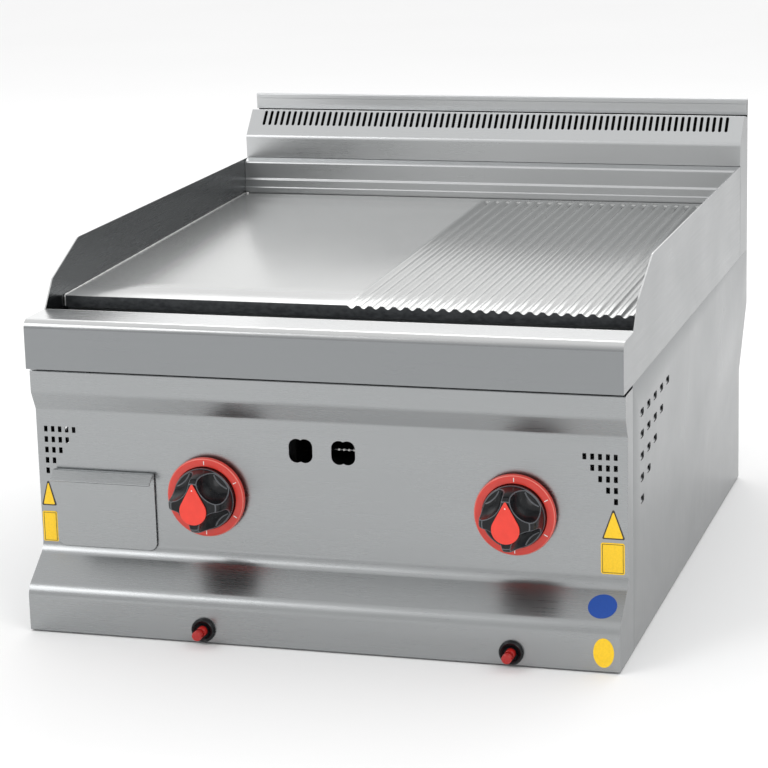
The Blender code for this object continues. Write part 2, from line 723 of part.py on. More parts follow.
def drawer_front():
    """Flat front with its top edge bent forward and down into a grip."""
    low, high = DRAWER_Z
    back = 0.0160
    line = [(0.0020, high - 0.0090), (0.0120, high - 0.0005), (back - SHEET, high),
            (back - SHEET, low)]
    sheet = bent_sheet("drawer_front", "x", line, *DRAWER_X, "stainless")
    corner_r = 0.008
    corners = []
    for x, sign in ((DRAWER_X[0], -1), (DRAWER_X[1], 1)):
        round_part = arc(x - sign * corner_r, low + corner_r, corner_r, 270, 270 + sign * 90, 4)
        outline = [(x + sign * 0.001, low - 0.001)] + round_part
        corners.append(prism("corner", "y", outline, 0.0, 0.03, None))
    return cut(sheet, *corners)


def drawer_runner(side):
    """Angle that the tray slides on, fixed to the side panel or stood on the base pan."""
    wall = 0.0012
    z = DRAWER_Z[0] + 0.0085 - wall
    if side == "left":
        line = [(-0.2980, 0.1200), (-0.2980, z), (TRAY_X[0] + 0.0090, z)]
    else:
        web = TRAY_X[1] + 0.0030 + wall
        line = [(TRAY_X[1] - 0.0090, z + wall), (web, z + wall), (web, 0.0079)]
        wall = -wall
    return bent_sheet(f"drawer_runner_{side}", "y", line, 0.0380, 0.3500, "galvanised", wall)


# ---- assembly -----------------------------------------------------------------------------
def build_shell():
    front_nosing()
    griddle_plate()
    grease_gutter()
    drain_spout()
    rear_splashback()
    flue_cover()
    flue_back_panel()
    flue_baffle()
    rear_panel()
    front_panel()
    base_pan()
    feet()


def build_pairs():
    makers = (splash_guard, plate_rail, side_panel, burner, injector, gas_valve, gas_tube,
              pilot_burner, spark_electrode, valve_spindle, spring_collar, knob_skirt, knob_grip,
              knob_insert, igniter_bezel, igniter_button, igniter_body, drawer_runner)
    for make in makers:
        for side in SIDES:
            make(side)


def build_inside():
    front_heat_shield()
    combustion_box()
    burner_rest()
    gas_manifold()
    gas_inlet_nipple()
    pilot_bracket()
    drawer_tray()
    drawer_front()


def centre_depth():
    """Put the origin under the middle of the unit's depth."""
    middle = (BACK_Y + BUTTON_TIP) / 2
    for obj in bpy.data.objects:
        obj.location.y -= middle


clear_scene()
build_shell()
build_inside()
build_pairs()
centre_depth()
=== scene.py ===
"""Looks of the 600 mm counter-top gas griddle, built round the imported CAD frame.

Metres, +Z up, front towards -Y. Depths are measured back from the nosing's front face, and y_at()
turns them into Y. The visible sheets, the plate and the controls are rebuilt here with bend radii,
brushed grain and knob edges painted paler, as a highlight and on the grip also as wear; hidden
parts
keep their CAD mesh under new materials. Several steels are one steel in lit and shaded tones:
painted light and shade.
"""

import json
from math import acos, atan2, cos, hypot, pi, radians, sin, sqrt, tan

import bmesh
import bpy
from mathutils import Matrix, Vector


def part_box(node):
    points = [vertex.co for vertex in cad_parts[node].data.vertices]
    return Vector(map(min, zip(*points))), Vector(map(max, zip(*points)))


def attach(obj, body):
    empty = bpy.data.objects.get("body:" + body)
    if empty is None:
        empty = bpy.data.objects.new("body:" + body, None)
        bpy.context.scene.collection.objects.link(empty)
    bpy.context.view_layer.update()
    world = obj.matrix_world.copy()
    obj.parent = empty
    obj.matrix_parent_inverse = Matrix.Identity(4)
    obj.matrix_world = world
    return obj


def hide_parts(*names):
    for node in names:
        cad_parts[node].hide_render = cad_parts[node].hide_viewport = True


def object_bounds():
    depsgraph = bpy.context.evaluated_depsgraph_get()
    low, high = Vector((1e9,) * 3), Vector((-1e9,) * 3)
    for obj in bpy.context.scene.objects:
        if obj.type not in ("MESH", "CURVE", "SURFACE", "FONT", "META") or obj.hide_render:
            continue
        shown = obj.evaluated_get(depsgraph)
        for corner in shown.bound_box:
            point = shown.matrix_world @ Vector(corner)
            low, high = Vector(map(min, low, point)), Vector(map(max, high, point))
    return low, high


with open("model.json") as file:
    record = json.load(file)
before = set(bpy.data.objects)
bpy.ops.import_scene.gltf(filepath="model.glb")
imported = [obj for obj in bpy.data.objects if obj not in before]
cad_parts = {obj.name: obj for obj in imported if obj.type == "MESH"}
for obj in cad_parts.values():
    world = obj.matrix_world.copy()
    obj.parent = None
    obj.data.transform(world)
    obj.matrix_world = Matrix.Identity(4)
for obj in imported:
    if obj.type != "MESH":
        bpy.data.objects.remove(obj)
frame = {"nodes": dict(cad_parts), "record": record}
CAD_LOW, CAD_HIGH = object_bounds()
DEPTH_0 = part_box("front_nosing")[0].y
HALF = CAD_HIGH.x
SHEET = 0.0015
SIDES = {"left": -1, "right": 1}


# ---- node materials ----
class Nodes:
    """A short way to write the nodes of one material or world."""

    def __init__(self, owner, shader="Principled BSDF"):
        owner.use_nodes = True
        self.owner, self.tree = owner, owner.node_tree
        self.shader = self.tree.nodes[shader]

    def add(self, kind, inputs=None, **settings):
        node = self.tree.nodes.new(kind)
        for key, value in settings.items():
            setattr(node, key, value)
        for key, value in (inputs or {}).items():
            self.link(value, node.inputs[key])
        return node

    def link(self, value, socket):
        if isinstance(value, bpy.types.NodeSocket):
            self.tree.links.new(value, socket)
        else:
            socket.default_value = value

    def place(self, scale):
        """Object coordinates stretched by a scale per axis."""
        coordinates = self.add("ShaderNodeTexCoord").outputs["Object"]
        inputs = {"Vector": coordinates, "Scale": scale}
        return self.add("ShaderNodeMapping", inputs).outputs["Vector"]

    def noise(self, scale, detail=3.0, roughness=0.5, distortion=0.0):
        """Grey noise at a scale per axis, in cycles per metre."""
        inputs = {"Vector": self.place(scale), "Scale": 1.0, "Detail": detail,
                  "Roughness": roughness, "Distortion": distortion}
        return self.add("ShaderNodeTexNoise", inputs).outputs["Fac"]

    def remap(self, value, low, high, to_low, to_high, **settings):
        inputs = {"Value": value, "From Min": low, "From Max": high,
                  "To Min": to_low, "To Max": to_high}
        return self.add("ShaderNodeMapRange", inputs, **settings).outputs["Result"]

    def spread(self, noise, low, high):
        """A noise's usual reach as a value between two others."""
        return self.remap(noise, 0.3, 0.7, low, high)

    def maths(self, operation, first, second):
        node = self.add("ShaderNodeMath", operation=operation)
        self.link(first, node.inputs[0])
        self.link(second, node.inputs[1])
        return node.outputs[0]

    def mix(self, share, first, second):
        node = self.add("ShaderNodeMix", data_type="RGBA")
        self.link(share, node.inputs["Factor"])
        self.link(first, node.inputs[6])
        self.link(second, node.inputs[7])
        return node.outputs[2]

    def bump(self, height, strength, distance):
        inputs = {"Height": height, "Strength": strength, "Distance": distance}
        return self.add("ShaderNodeBump", inputs).outputs["Normal"]

    def shade(self, **inputs):
        for key, value in inputs.items():
            self.link(value, self.shader.inputs[key.replace("_", " ")])
        return self.owner


def new_material(name):
    return Nodes(bpy.data.materials.new(name))


def rgba(red, green, blue):
    return (red, green, blue, 1.0)


def scaled(colour, factor):
    return rgba(*[min(1.0, channel * factor) for channel in colour])


def along(axis, slow, fast):
    """A scale per axis that is slow along the grain and fast across it."""
    return tuple(slow if name == axis else fast for name in "xyz")


GRAIN, DIRT = 0.025, 0.035      # how far the grain and the handling marks sway the tone


def brushed_steel(name, colour, roughness, axis, painted_top_light=None):
    """Satin stainless: fine grain along one axis over broad, faint handling marks.

    The optional brighter tone is blended in on faces that look up: painted light.
    """
    n = new_material(name)
    fine = n.noise(along(axis, 14, 1900), detail=2)
    coarse = n.noise(along(axis, 5, 520), detail=3, roughness=0.6)
    marks = n.noise((7, 7, 9), detail=4, roughness=0.6, distortion=0.5)
    lines = n.maths("ADD", n.maths("MULTIPLY", fine, 0.6), n.maths("MULTIPLY", coarse, 0.4))
    tone = n.maths("ADD", n.spread(lines, -GRAIN / 2, GRAIN / 2),
                   n.spread(marks, -DIRT / 2, DIRT / 2))
    share = n.maths("ADD", tone, 0.5)
    base = n.mix(share, scaled(colour, 0.80), scaled(colour, 1.20))
    rough = n.maths("ADD", n.spread(lines, roughness - 0.03, roughness + 0.05),
                    n.spread(marks, -0.03, 0.04))
    # Painted light: faces that look up are blended toward the brighter top tone.
    if painted_top_light:
        normal = n.add("ShaderNodeTexCoord").outputs["Normal"]
        height = n.add("ShaderNodeSeparateXYZ", {"Vector": normal}).outputs["Z"]
        painted_top_mix = n.mix(share, scaled(painted_top_light, 0.90), scaled(painted_top_light, 1.10))
        base = n.mix(n.remap(height, 0.10, 0.75, 0.0, 1.0), base, painted_top_mix)
    return n.shade(Base_Color=base, Metallic=1.0, Roughness=rough,
                   Normal=n.bump(lines, 0.05, 0.0002))


def plate_steel(name, roughness, metallic):
    """Ground griddle steel: lengthwise grinding, faint oil clouds and a few fine scratches."""
    n = new_material(name)
    fine = n.noise((1500, 14, 1500), detail=2)
    wipes = n.noise((5, 3, 5), detail=4, roughness=0.55, distortion=0.6)
    scratches = n.noise((260, 8, 260), detail=1, distortion=0.3)
    thin = n.remap(scratches, 0.71, 0.76, 0.0, 1.0)
    base = n.mix(n.remap(wipes, 0.32, 0.70, 0.0, 1.0), rgba(0.435, 0.440, 0.437),
                 rgba(0.470, 0.475, 0.470))
    base = n.mix(n.maths("MULTIPLY", thin, 0.12), base, rgba(0.62, 0.62, 0.61))
    rough = n.maths("ADD", n.spread(fine, roughness, roughness + 0.03),
                    n.spread(wipes, -0.012, 0.018))
    across = n.add("ShaderNodeTangent", direction_type="RADIAL", axis="Y").outputs["Tangent"]
    return n.shade(Base_Color=base, Metallic=metallic, Roughness=rough, Anisotropic=0.80,
                   Tangent=across, Normal=n.bump(fine, 0.05, 0.0002))


def mottled(name, colours, turn, rough, relief, blotch, grain=None, fine_gloss=False, metallic=0.0):
    """One colour blotched with another, over a bumpy grain.

    blotch and grain are noise settings, and without a grain the blotches are the bumps too. turn is
    where the blotch noise goes from one colour to the other, rough the range of roughness, which
    follows the grain if fine_gloss is set, and relief the strength and height of the bumps.
    """
    n = new_material(name)
    cloud = n.noise(*blotch)
    fine = n.noise(*grain) if grain else cloud
    base = n.mix(n.remap(cloud, *turn, 0, 1), *[rgba(*colour) for colour in colours])
    return n.shade(Base_Color=base, Metallic=metallic, Normal=n.bump(fine, *relief),
                   Roughness=n.spread(fine if fine_gloss else cloud, *rough))


def zinc(name):
    """Galvanised sheet with its patchwork of dull grey spangles."""
    n = new_material(name)
    spangle = n.add("ShaderNodeTexVoronoi", {"Vector": n.place((130, 130, 130)), "Scale": 1.0})
    patch = n.add("ShaderNodeSeparateColor", {"Color": spangle.outputs["Color"]}).outputs["Red"]
    cloud = n.noise((12, 12, 12), detail=4)
    share = n.maths("ADD", n.maths("MULTIPLY", patch, 0.5), n.maths("MULTIPLY", cloud, 0.5))
    base = n.mix(share, rgba(0.30, 0.31, 0.32), rgba(0.52, 0.53, 0.54))
    return n.shade(Base_Color=base, Metallic=0.9, Roughness=n.remap(share, 0, 1, 0.38, 0.62),
                   Normal=n.bump(patch, 0.10, 0.0002))


def moulded_plastic(name, colour, roughness, wear=0.10, coat=0.0, gloss=0.5):
    """Moulded plastic: fine texture, finger-polished clouds and faint scuffs."""
    n = new_material(name)
    skin = n.noise((2600, 2600, 2600), detail=2)
    cloud = n.noise((70, 70, 70), detail=4, roughness=0.6)
    scuff = n.noise((900, 140, 260), detail=2, distortion=0.8)
    pale = rgba(*[c + (0.55 - c) * 0.30 for c in colour])
    base = n.mix(n.spread(cloud, 0, 1), rgba(*colour), scaled(colour, 0.88))
    base = n.mix(n.remap(scuff, 0.66, 0.80, 0.0, wear), base, pale)
    return n.shade(Base_Color=base, Roughness=n.spread(cloud, roughness, roughness + 0.12),
                   Coat_Weight=coat, Coat_Roughness=0.12, Specular_IOR_Level=gloss,
                   Normal=n.bump(skin, 0.08, 0.0001))


def printed_vinyl(name, colour):
    """Printed label film, slightly uneven in ink and in how flat it lies."""
    faded = [channel * 0.90 for channel in colour]
    return mottled(name, (colour, faded), turn=(0.3, 0.7), rough=(0.30, 0.42),
                   relief=(0.05, 0.0004), blotch=((500, 500, 500), 3), grain=((90, 90, 90), 2))


def pale_floor(name):
    n = new_material(name)
    cloud = n.noise((0.8, 0.8, 0.8), detail=3)
    base = n.mix(n.spread(cloud, 0, 1), rgba(0.89, 0.89, 0.89), rgba(0.91, 0.91, 0.91))
    return n.shade(Base_Color=base, Roughness=0.9, Specular_IOR_Level=0.1)


STEEL = (0.355, 0.365, 0.370)
# Painted shade: a darker copy of the steel for the worktop's nosing, deck and guards.
NOSING_PAINTED_SHADE = (0.262, 0.272, 0.278)
# Painted light: a brighter copy of the steel for the worktop's faces that look up.
DECK_PAINTED_LIGHT = (0.60, 0.605, 0.605)
# Painted shade: a much darker copy of the steel for the guards' inner faces.
GUARD_INSIDE_PAINTED_SHADE = (0.100, 0.106, 0.110)
# Painted shade: a darker copy of the steel for the side panels and the other end faces.
SIDE_PAINTED_SHADE = (0.300, 0.308, 0.312)
# Painted light: a brighter copy of the steel for the splashback and the flue.
REAR_PAINTED_LIGHT = (0.540, 0.550, 0.555)
LOOKS = {
    "steel_x": brushed_steel("steel_grain_x", STEEL, 0.27, "x"),
    "steel_y": brushed_steel("steel_grain_y_painted_shade", SIDE_PAINTED_SHADE, 0.30, "y"),
    "steel_z": brushed_steel("steel_grain_z_painted_shade", SIDE_PAINTED_SHADE, 0.30, "z"),
    "rear_x": brushed_steel("rear_steel_grain_x_painted_light", REAR_PAINTED_LIGHT, 0.30, "x"),
    "worktop_x": brushed_steel("worktop_grain_x_painted_light_and_shade", NOSING_PAINTED_SHADE, 0.22, "x", painted_top_light=DECK_PAINTED_LIGHT),
    "guard_inside_shade": brushed_steel("guard_inner_face_painted_shade", GUARD_INSIDE_PAINTED_SHADE, 0.24, "y"),
    # Near-black steel for the faces inside the flue.
    "flue_inside_dark": brushed_steel("near_black_flue_steel", (0.030, 0.029, 0.028), 0.55, "z"),
    "plate": plate_steel("griddle_steel", 0.20, 0.60),
    "plate_ribs": plate_steel("griddle_steel_ribs", 0.24, 0.95),
    # Near-black, blotched steel for the plate's upright faces.
    "plate_edge": mottled("plate_near_black_sides", ((0.022, 0.025, 0.028), (0.060, 0.064, 0.068)),
                          turn=(0.35, 0.72), rough=(0.40, 0.62), relief=(0.15, 0.0003),
                          blotch=((160, 160, 260), 4, 0.65), metallic=0.4),
    "zinc": zinc("galvanised"),
    "iron": mottled("cast_iron", ((0.035, 0.036, 0.038), (0.105, 0.062, 0.040)),
                    turn=(0.4, 0.68), rough=(0.6, 0.85), relief=(0.5, 0.0006),
                    blotch=((22, 22, 22), 4), grain=((900, 900, 900), 4, 0.7),
                    fine_gloss=True, metallic=0.45),
    "brass": mottled("brass", ((0.78, 0.56, 0.24), (0.43, 0.28, 0.12)),
                     turn=(0.35, 0.68), rough=(0.22, 0.48), relief=(0.12, 0.0001),
                     blotch=((45, 45, 45), 4), grain=((1400, 60, 1400), 2), metallic=1.0),
    "black": moulded_plastic("black_plastic", (0.0050, 0.0056, 0.0070), 0.16, wear=0.25,
                             gloss=0.30),
    # Paler black for the grip's bevelled edges: wear, and a painted highlight along them.
    "black_edge_wear_and_highlight": moulded_plastic("black_plastic_wear_and_highlight_edge", (0.090, 0.096, 0.106), 0.22,
                                  wear=0.9),
    # Painted highlight: paler red for the front of the knob ring's outer rim.
    "ring_painted_highlight": moulded_plastic("red_plastic_painted_highlight", (0.78, 0.20, 0.16), 0.22, wear=0.9),
    "ring_red": moulded_plastic("red_skirt_plastic", (0.70, 0.038, 0.022), 0.26, wear=0.18,
                                coat=0.3),
    "insert_red": moulded_plastic("red_insert_plastic", (0.86, 0.050, 0.030), 0.34, wear=0.06),
    "button_red": moulded_plastic("red_button_plastic", (0.42, 0.014, 0.012), 0.24, wear=0.3),
    "white": moulded_plastic("white_print", (0.85, 0.84, 0.80), 0.4),
    "ceramic": mottled("ceramic", ((0.86, 0.84, 0.78), (0.52, 0.46, 0.38)),
                       turn=(0.45, 0.75), rough=(0.2, 0.42), relief=(0.06, 0.0002),
                       blotch=((160, 160, 60), 4)),
    "rubber": mottled("rubber", ((0.022, 0.022, 0.023), (0.12, 0.115, 0.11)),
                      turn=(0.45, 0.75), rough=(0.65, 0.9), relief=(0.35, 0.0003),
                      blotch=((60, 60, 30), 3), grain=((700, 700, 700), 4), fine_gloss=True),
    "yellow": printed_vinyl("yellow_label", (1.0, 0.63, 0.012)),
    "label_black": printed_vinyl("black_label_print", (0.030, 0.026, 0.020)),
    "blue": printed_vinyl("blue_label", (0.001, 0.058, 0.34)),
    "weld": mottled("weld_bead", ((0.46, 0.46, 0.455), (0.64, 0.64, 0.63)),
                    turn=(0.3, 0.7), rough=(0.28, 0.46), relief=(0.45, 0.0006),
                    blotch=((420, 420, 420), 3), metallic=1.0),
    "floor": pale_floor("floor"),
}


# ---- mesh building ----
def y_at(depth):
    return DEPTH_0 + depth


def axis_point(axis, place, u, v):
    """A point from its place along an axis and its two other coordinates, in X, Y, Z order."""
    return {"x": (place, u, v), "y": (u, place, v), "z": (u, v, place)}[axis]


def arc(cu, cv, radius, start, end, steps):
    """Points on an arc, with angles in degrees."""
    turns = [radians(start + (end - start) * i / steps) for i in range(steps + 1)]
    return [(cu + radius * cos(a), cv + radius * sin(a)) for a in turns]


def stadium(cu, cv, half_u, half_v, steps=8):
    """A round-ended slot outline, long in v."""
    straight = half_v - half_u
    top = arc(cu, cv + straight, half_u, 0, 180, steps)
    return top + arc(cu, cv - straight, half_u, 180, 360, steps)


def rectangle(u0, u1, v0, v1):
    return [(u0, v0), (u1, v0), (u1, v1), (u0, v1)]


def fillet(before, corner, after, radius, steps):
    """Points that round one corner of an outline."""
    corner = Vector(corner)
    to_before, to_after = Vector(before) - corner, Vector(after) - corner
    half = to_before.angle(to_after) / 2
    reach = min(radius / tan(half), 0.48 * to_before.length, 0.48 * to_after.length)
    radius = reach * tan(half)
    inward = (to_before.normalized() + to_after.normalized()).normalized()
    centre = corner + inward * (radius / sin(half))
    start = corner + to_before.normalized() * reach - centre
    turn = start.angle_signed(corner + to_after.normalized() * reach - centre)
    found = []
    for i in range(steps + 1):
        spin = Matrix.Rotation(-turn * i / steps, 2)
        found.append(tuple(centre + spin @ start))
    return found


def rounded(points, closed=False, steps=8):
    """The line through (u, v, radius) points, with each corner of a radius turned into an arc."""
    line = []
    count = len(points)
    for i, (u, v, *radius) in enumerate(points):
        inner = closed or 0 < i < count - 1
        if radius and radius[0] and inner:
            before, after = points[i - 1][:2], points[(i + 1) % count][:2]
            line += fillet(before, (u, v), after, radius[0], steps)
        else:
            line.append((u, v))
    return line


def offset_line(line, distance):
    """The line moved sideways, to its left for a positive distance, with mitred corners."""
    moved = []
    for i, point in enumerate(line):
        here = Vector(point)
        before = (here - Vector(line[i - 1])).normalized() if i else None
        after = (Vector(line[i + 1]) - here).normalized() if i + 1 < len(line) else None
        first, second = before or after, after or before
        normal = (Vector((-first.y, first.x)) + Vector((-second.y, second.x))).normalized()
        stretch = normal.dot(Vector((-first.y, first.x)))
        moved.append(tuple(here + normal * distance / stretch))
    return moved


def new_object(name, bm, look):
    bmesh.ops.recalc_face_normals(bm, faces=bm.faces)
    mesh = bpy.data.meshes.new(name)
    bm.to_mesh(mesh)
    bm.free()
    obj = bpy.data.objects.new(name, mesh)
    bpy.context.scene.collection.objects.link(obj)
    if look:
        mesh.materials.append(LOOKS[look])
    return obj


def new_ring(bm, points):
    return [bm.verts.new(point) for point in points]


def bm_slab(bm, near, far):
    """A closed solid between two matching outlines, given as points."""
    near, far = new_ring(bm, near), new_ring(bm, far)
    bm.faces.new(near)
    bm.faces.new(list(reversed(far)))
    for i in range(len(near)):
        j = (i + 1) % len(near)
        bm.faces.new((near[i], far[i], far[j], near[j]))


def bm_bands(bm, rings):
    """Bands of faces that join each ring of vertices to the next."""
    for first, second in zip(rings, rings[1:]):
        for i in range(len(first)):
            j = (i + 1) % len(first)
            bm.faces.new((first[i], first[j], second[j], second[i]))


def bm_prism(axis, outline, start, end, bm=None):
    bm = bm or bmesh.new()
    near, far = ([axis_point(axis, place, u, v) for u, v in outline] for place in (start, end))
    bm_slab(bm, near, far)
    return bm


def prism(name, axis, outline, start, end, look=None):
    return new_object(name, bm_prism(axis, outline, start, end), look)


def prisms(axis, outlines, start, end):
    """Several separate prisms in one object, to cut with."""
    bm = bmesh.new()
    for outline in outlines:
        bm_prism(axis, outline, start, end, bm)
    return new_object("cutter", bm, None)


def in_place(outline):
    """An outline of (depth, height) points as (y, z) points."""
    return [(y_at(depth), height) for depth, height in outline]


def folded(name, points, start, end, look, thickness=SHEET):
    """Sheet metal along (depth, height, radius) points, with its inner skin on their left."""
    line = rounded(points)
    skin = line + list(reversed(offset_line(line, thickness)))
    return prism(name, "x", in_place(skin), start, end, look)


def turned(name, axis, centre, profile, look, steps=64, closed=False):
    """A profile of (radius, place along the axis) turned about an axis."""
    bm = bmesh.new()
    rings = []
    for radius, place in profile:
        if radius == 0:
            rings.append([bm.verts.new(axis_point(axis, place, *centre))])
        else:
            circle = arc(centre[0], centre[1], radius, 0, 360, steps)[:-1]
            rings.append([bm.verts.new(axis_point(axis, place, u, v)) for u, v in circle])
    pairs = list(zip(rings, rings[1:])) + ([(rings[-1], rings[0])] if closed else [])
    for first, second in pairs:
        for i in range(steps):
            j = (i + 1) % steps
            corners = [first[i % len(first)], first[j % len(first)],
                       second[j % len(second)], second[i % len(second)]]
            unique = list(dict.fromkeys(corners))
            if len(unique) > 2:
                bm.faces.new(unique)
    return new_object(name, bm, look)


def combine(obj, others, operation):
    """Join an object with others, or cut them from it, and remove them."""
    for other in others:
        modifier = obj.modifiers.new(operation, "BOOLEAN")
        modifier.operation = operation
        modifier.solver = "EXACT"
        modifier.object = other
    view = bpy.context.view_layer
    view.update()
    mesh = bpy.data.meshes.new_from_object(obj.evaluated_get(view.depsgraph))
    obj.modifiers.clear()
    obj.data = mesh
    for other in others:
        bpy.data.objects.remove(other, do_unlink=True)
    return obj


def cut(obj, *cutters):
    return combine(obj, cutters, "DIFFERENCE")


def join(obj, *others):
    return combine(obj, others, "UNION")


def smooth(obj, sharp_angle):
    obj.data.shade_smooth()
    obj.data.set_sharp_from_angle(angle=radians(sharp_angle))
    return obj


def soften(obj, width=0.0003, angle=32, segments=2, edge_look=None):
    """Round the hard edges and shade the bends smoothly, with flat faces kept flat."""
    if edge_look:
        obj.data.materials.append(LOOKS[edge_look])
    bevel = obj.modifiers.new("soft_edges", "BEVEL")
    bevel.width = width
    bevel.segments = segments
    bevel.limit_method = "ANGLE"
    bevel.angle_limit = radians(angle)
    bevel.use_clamp_overlap = True
    bevel.harden_normals = False
    if edge_look:
        bevel.material = len(obj.data.materials) - 1
    obj.data.shade_smooth()
    normals = obj.modifiers.new("flat_faces", "WEIGHTED_NORMAL")
    normals.keep_sharp = True
    normals.weight = 100
    return obj


def hollow(name, outer, inner, half, looks):
    """A box of sheet metal: an outline across the width, less what its folded sheets enclose.

    looks are for the front, the ends and, where it differs, the ends' inner faces.
    """
    shell = prism(name, "x", in_place(outer), -half, half, looks[0])
    space = prism("space", "x", in_place(inner), SHEET - half, half - SHEET)
    cut(shell, space)
    for look in looks[1:]:
        shell.data.materials.append(LOOKS[look])
    for face in shell.data.polygons:
        outside = abs(face.center.x) > half - SHEET / 2
        if abs(face.normal.x) > 0.7:
            face.material_index = 1 if outside else len(looks) - 1
    return shell


def finish_piece(obj, body, slot, *nodes):
    """Attach a piece to its body and hide the CAD nodes that it stands for; its finish, slot, is
    not used.
    """
    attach(obj, body)
    if nodes:
        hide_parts(*nodes)
    return obj


# ---- worktop ----
NOSE_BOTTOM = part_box("front_nosing")[0].z
DECK_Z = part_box("front_nosing")[1].z
DECK_BACK = 0.0520
GUARD_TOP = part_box("right_splash_guard")[1].z
GUARD_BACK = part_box("right_splash_guard")[1].y - DEPTH_0


def worktop():
    """Nosing, deck and both splash guards, welded and polished into one shell."""
    rise = [(0.0735, 0.3405, 0.008), (0.1435, GUARD_TOP, 0.006), (GUARD_BACK, GUARD_TOP, 0.001)]
    outer = rounded([(0, NOSE_BOTTOM), (0, DECK_Z, 0.009), (DECK_BACK, DECK_Z, 0.001), *rise,
                     (GUARD_BACK, NOSE_BOTTOM)], closed=True)
    inner = [(0.016, 0.25), (0.016, NOSE_BOTTOM + SHEET), (SHEET, NOSE_BOTTOM + SHEET)]
    inner += rounded([(SHEET, NOSE_BOTTOM + SHEET), (SHEET, DECK_Z - SHEET, 0.0075),
                      (DECK_BACK - SHEET, DECK_Z - SHEET)])[1:]
    inner += [(DECK_BACK - SHEET, 0.3020), (DECK_BACK, 0.3020), (DECK_BACK, 0.42), (0.70, 0.42),
              (0.70, 0.25)]
    # The guards' inner faces take the much darker copy of the steel: painted shade.
    shell = hollow("worktop_shell", outer, inner, HALF,
                   ("worktop_x", "steel_y", "guard_inside_shade"))
    relief = prism("relief", "x", arc(y_at(GUARD_BACK), GUARD_TOP, 0.0019, 0, 360, 20)[:-1],
                   -0.31, 0.31)
    cut(shell, relief)
    return finish_piece(soften(shell, 0.0006, segments=3), "body", "stainless", "front_nosing",
                        "left_splash_guard", "right_splash_guard")


# ---- griddle plate ----
PLATE_LOW, PLATE_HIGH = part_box("griddle_plate")
PLATE_FRONT, PLATE_BACK = PLATE_LOW.y, PLATE_HIGH.y
PLATE_RISE = 0.0110
PLATE_THICKNESS = 0.0120
RIB_COUNT = 24
RIB_DEPTH = 0.0030
RIB_END = PLATE_BACK - 0.0120


def plate_top(y):
    share = (y - PLATE_FRONT) / (PLATE_BACK - PLATE_FRONT)
    return PLATE_HIGH.z - PLATE_RISE * (1 - share)


def rib_drop(x, y):
    """How far the ribbed half lies under the plate's level at a point."""
    if x <= 0 or x >= PLATE_HIGH.x:
        return 0.0
    pitch = PLATE_HIGH.x / RIB_COUNT
    phase = (x / pitch) % 1.0
    groove = max(0.0, cos((phase - 0.62) * 2 * pi) * 0.62 + 0.38) ** 0.85
    run_out = min(1.0, max(0.0, (RIB_END - y) / 0.010))
    return RIB_DEPTH * groove * sqrt(run_out * (2 - run_out))


def griddle_plate():
    """Plate with round-bottomed grooves that run out short of its back edge."""
    pitch = PLATE_HIGH.x / RIB_COUNT
    edge = 0.0008
    xs = [PLATE_LOW.x, PLATE_LOW.x + edge] + [PLATE_LOW.x * (1 - i / 12) for i in range(1, 13)]
    xs += [pitch * i / 16 for i in range(1, RIB_COUNT * 16)] + [PLATE_HIGH.x]
    ys = [PLATE_FRONT, PLATE_FRONT + edge * 0.3, PLATE_FRONT + edge]
    ys += [PLATE_FRONT + (RIB_END - 0.011 - PLATE_FRONT) * i / 8 for i in range(1, 9)]
    ys += [RIB_END - 0.010 * (1 - i / 8) for i in range(1, 9)] + [RIB_END + 0.004, PLATE_BACK]
    dips = {0: edge, 1: edge * 0.3}
    bm = bmesh.new()
    rows = [[bm.verts.new((x, y, plate_top(y) - rib_drop(x, y) - dips.get(k, 0))) for x in xs]
            for k, y in enumerate(ys)]
    for near, far in zip(rows, rows[1:]):
        for i in range(len(xs) - 1):
            bm.faces.new((near[i], near[i + 1], far[i + 1], far[i]))
    under = PLATE_THICKNESS - 0.0002
    low = {(i, k): bm.verts.new((xs[i], ys[k], plate_top(ys[k]) - under))
           for i in (0, -1) for k in (0, -1)}
    bm.faces.new(rows[0] + [low[-1, 0], low[0, 0]])
    bm.faces.new(rows[-1] + [low[-1, -1], low[0, -1]])
    bm.faces.new([row[0] for row in rows] + [low[0, -1], low[0, 0]])
    bm.faces.new([row[-1] for row in rows] + [low[-1, -1], low[-1, 0]])
    bm.faces.new([low[0, 0], low[-1, 0], low[-1, -1], low[0, -1]])
    plate = new_object("ribbed_plate", bm, "plate")
    plate.data.materials.append(LOOKS["plate_edge"])
    plate.data.materials.append(LOOKS["plate_ribs"])
    # Upright faces take the near-black look; the ribbed half has its own steel.
    for face in plate.data.polygons:
        face.material_index = 1 if abs(face.normal.z) < 0.5 else 2 * int(face.center.x > 0)
    smooth(plate, 50)
    return finish_piece(plate, "body", "griddle_steel", "griddle_plate")


def bead(name, points, radius):
    """A weld bead: a thin run of overlapping ripples along a straight line."""
    start, end = Vector(points[0]), Vector(points[1])
    run = end - start
    count = max(6, int(run.length / 0.0011))
    side = run.orthogonal().normalized()
    other = run.normalized().cross(side)
    bm = bmesh.new()
    rings = []
    for i in range(count + 1):
        swell = radius * (0.86 + 0.14 * abs(sin(i * 1.3)) + 0.10 * sin(i * 0.37))
        if i in (0, count):
            swell *= 0.5
        centre = start + run * i / count
        rings.append(new_ring(bm, [centre + side * swell * cos(t) + other * swell * sin(t)
                                   for t in (2 * pi * k / 10 for k in range(10))]))
    bm_bands(bm, rings)
    bm.faces.new(rings[0])
    bm.faces.new(rings[-1])
    obj = new_object(name, bm, "weld")
    obj.data.shade_smooth()
    return finish_piece(obj, "body", "stainless")


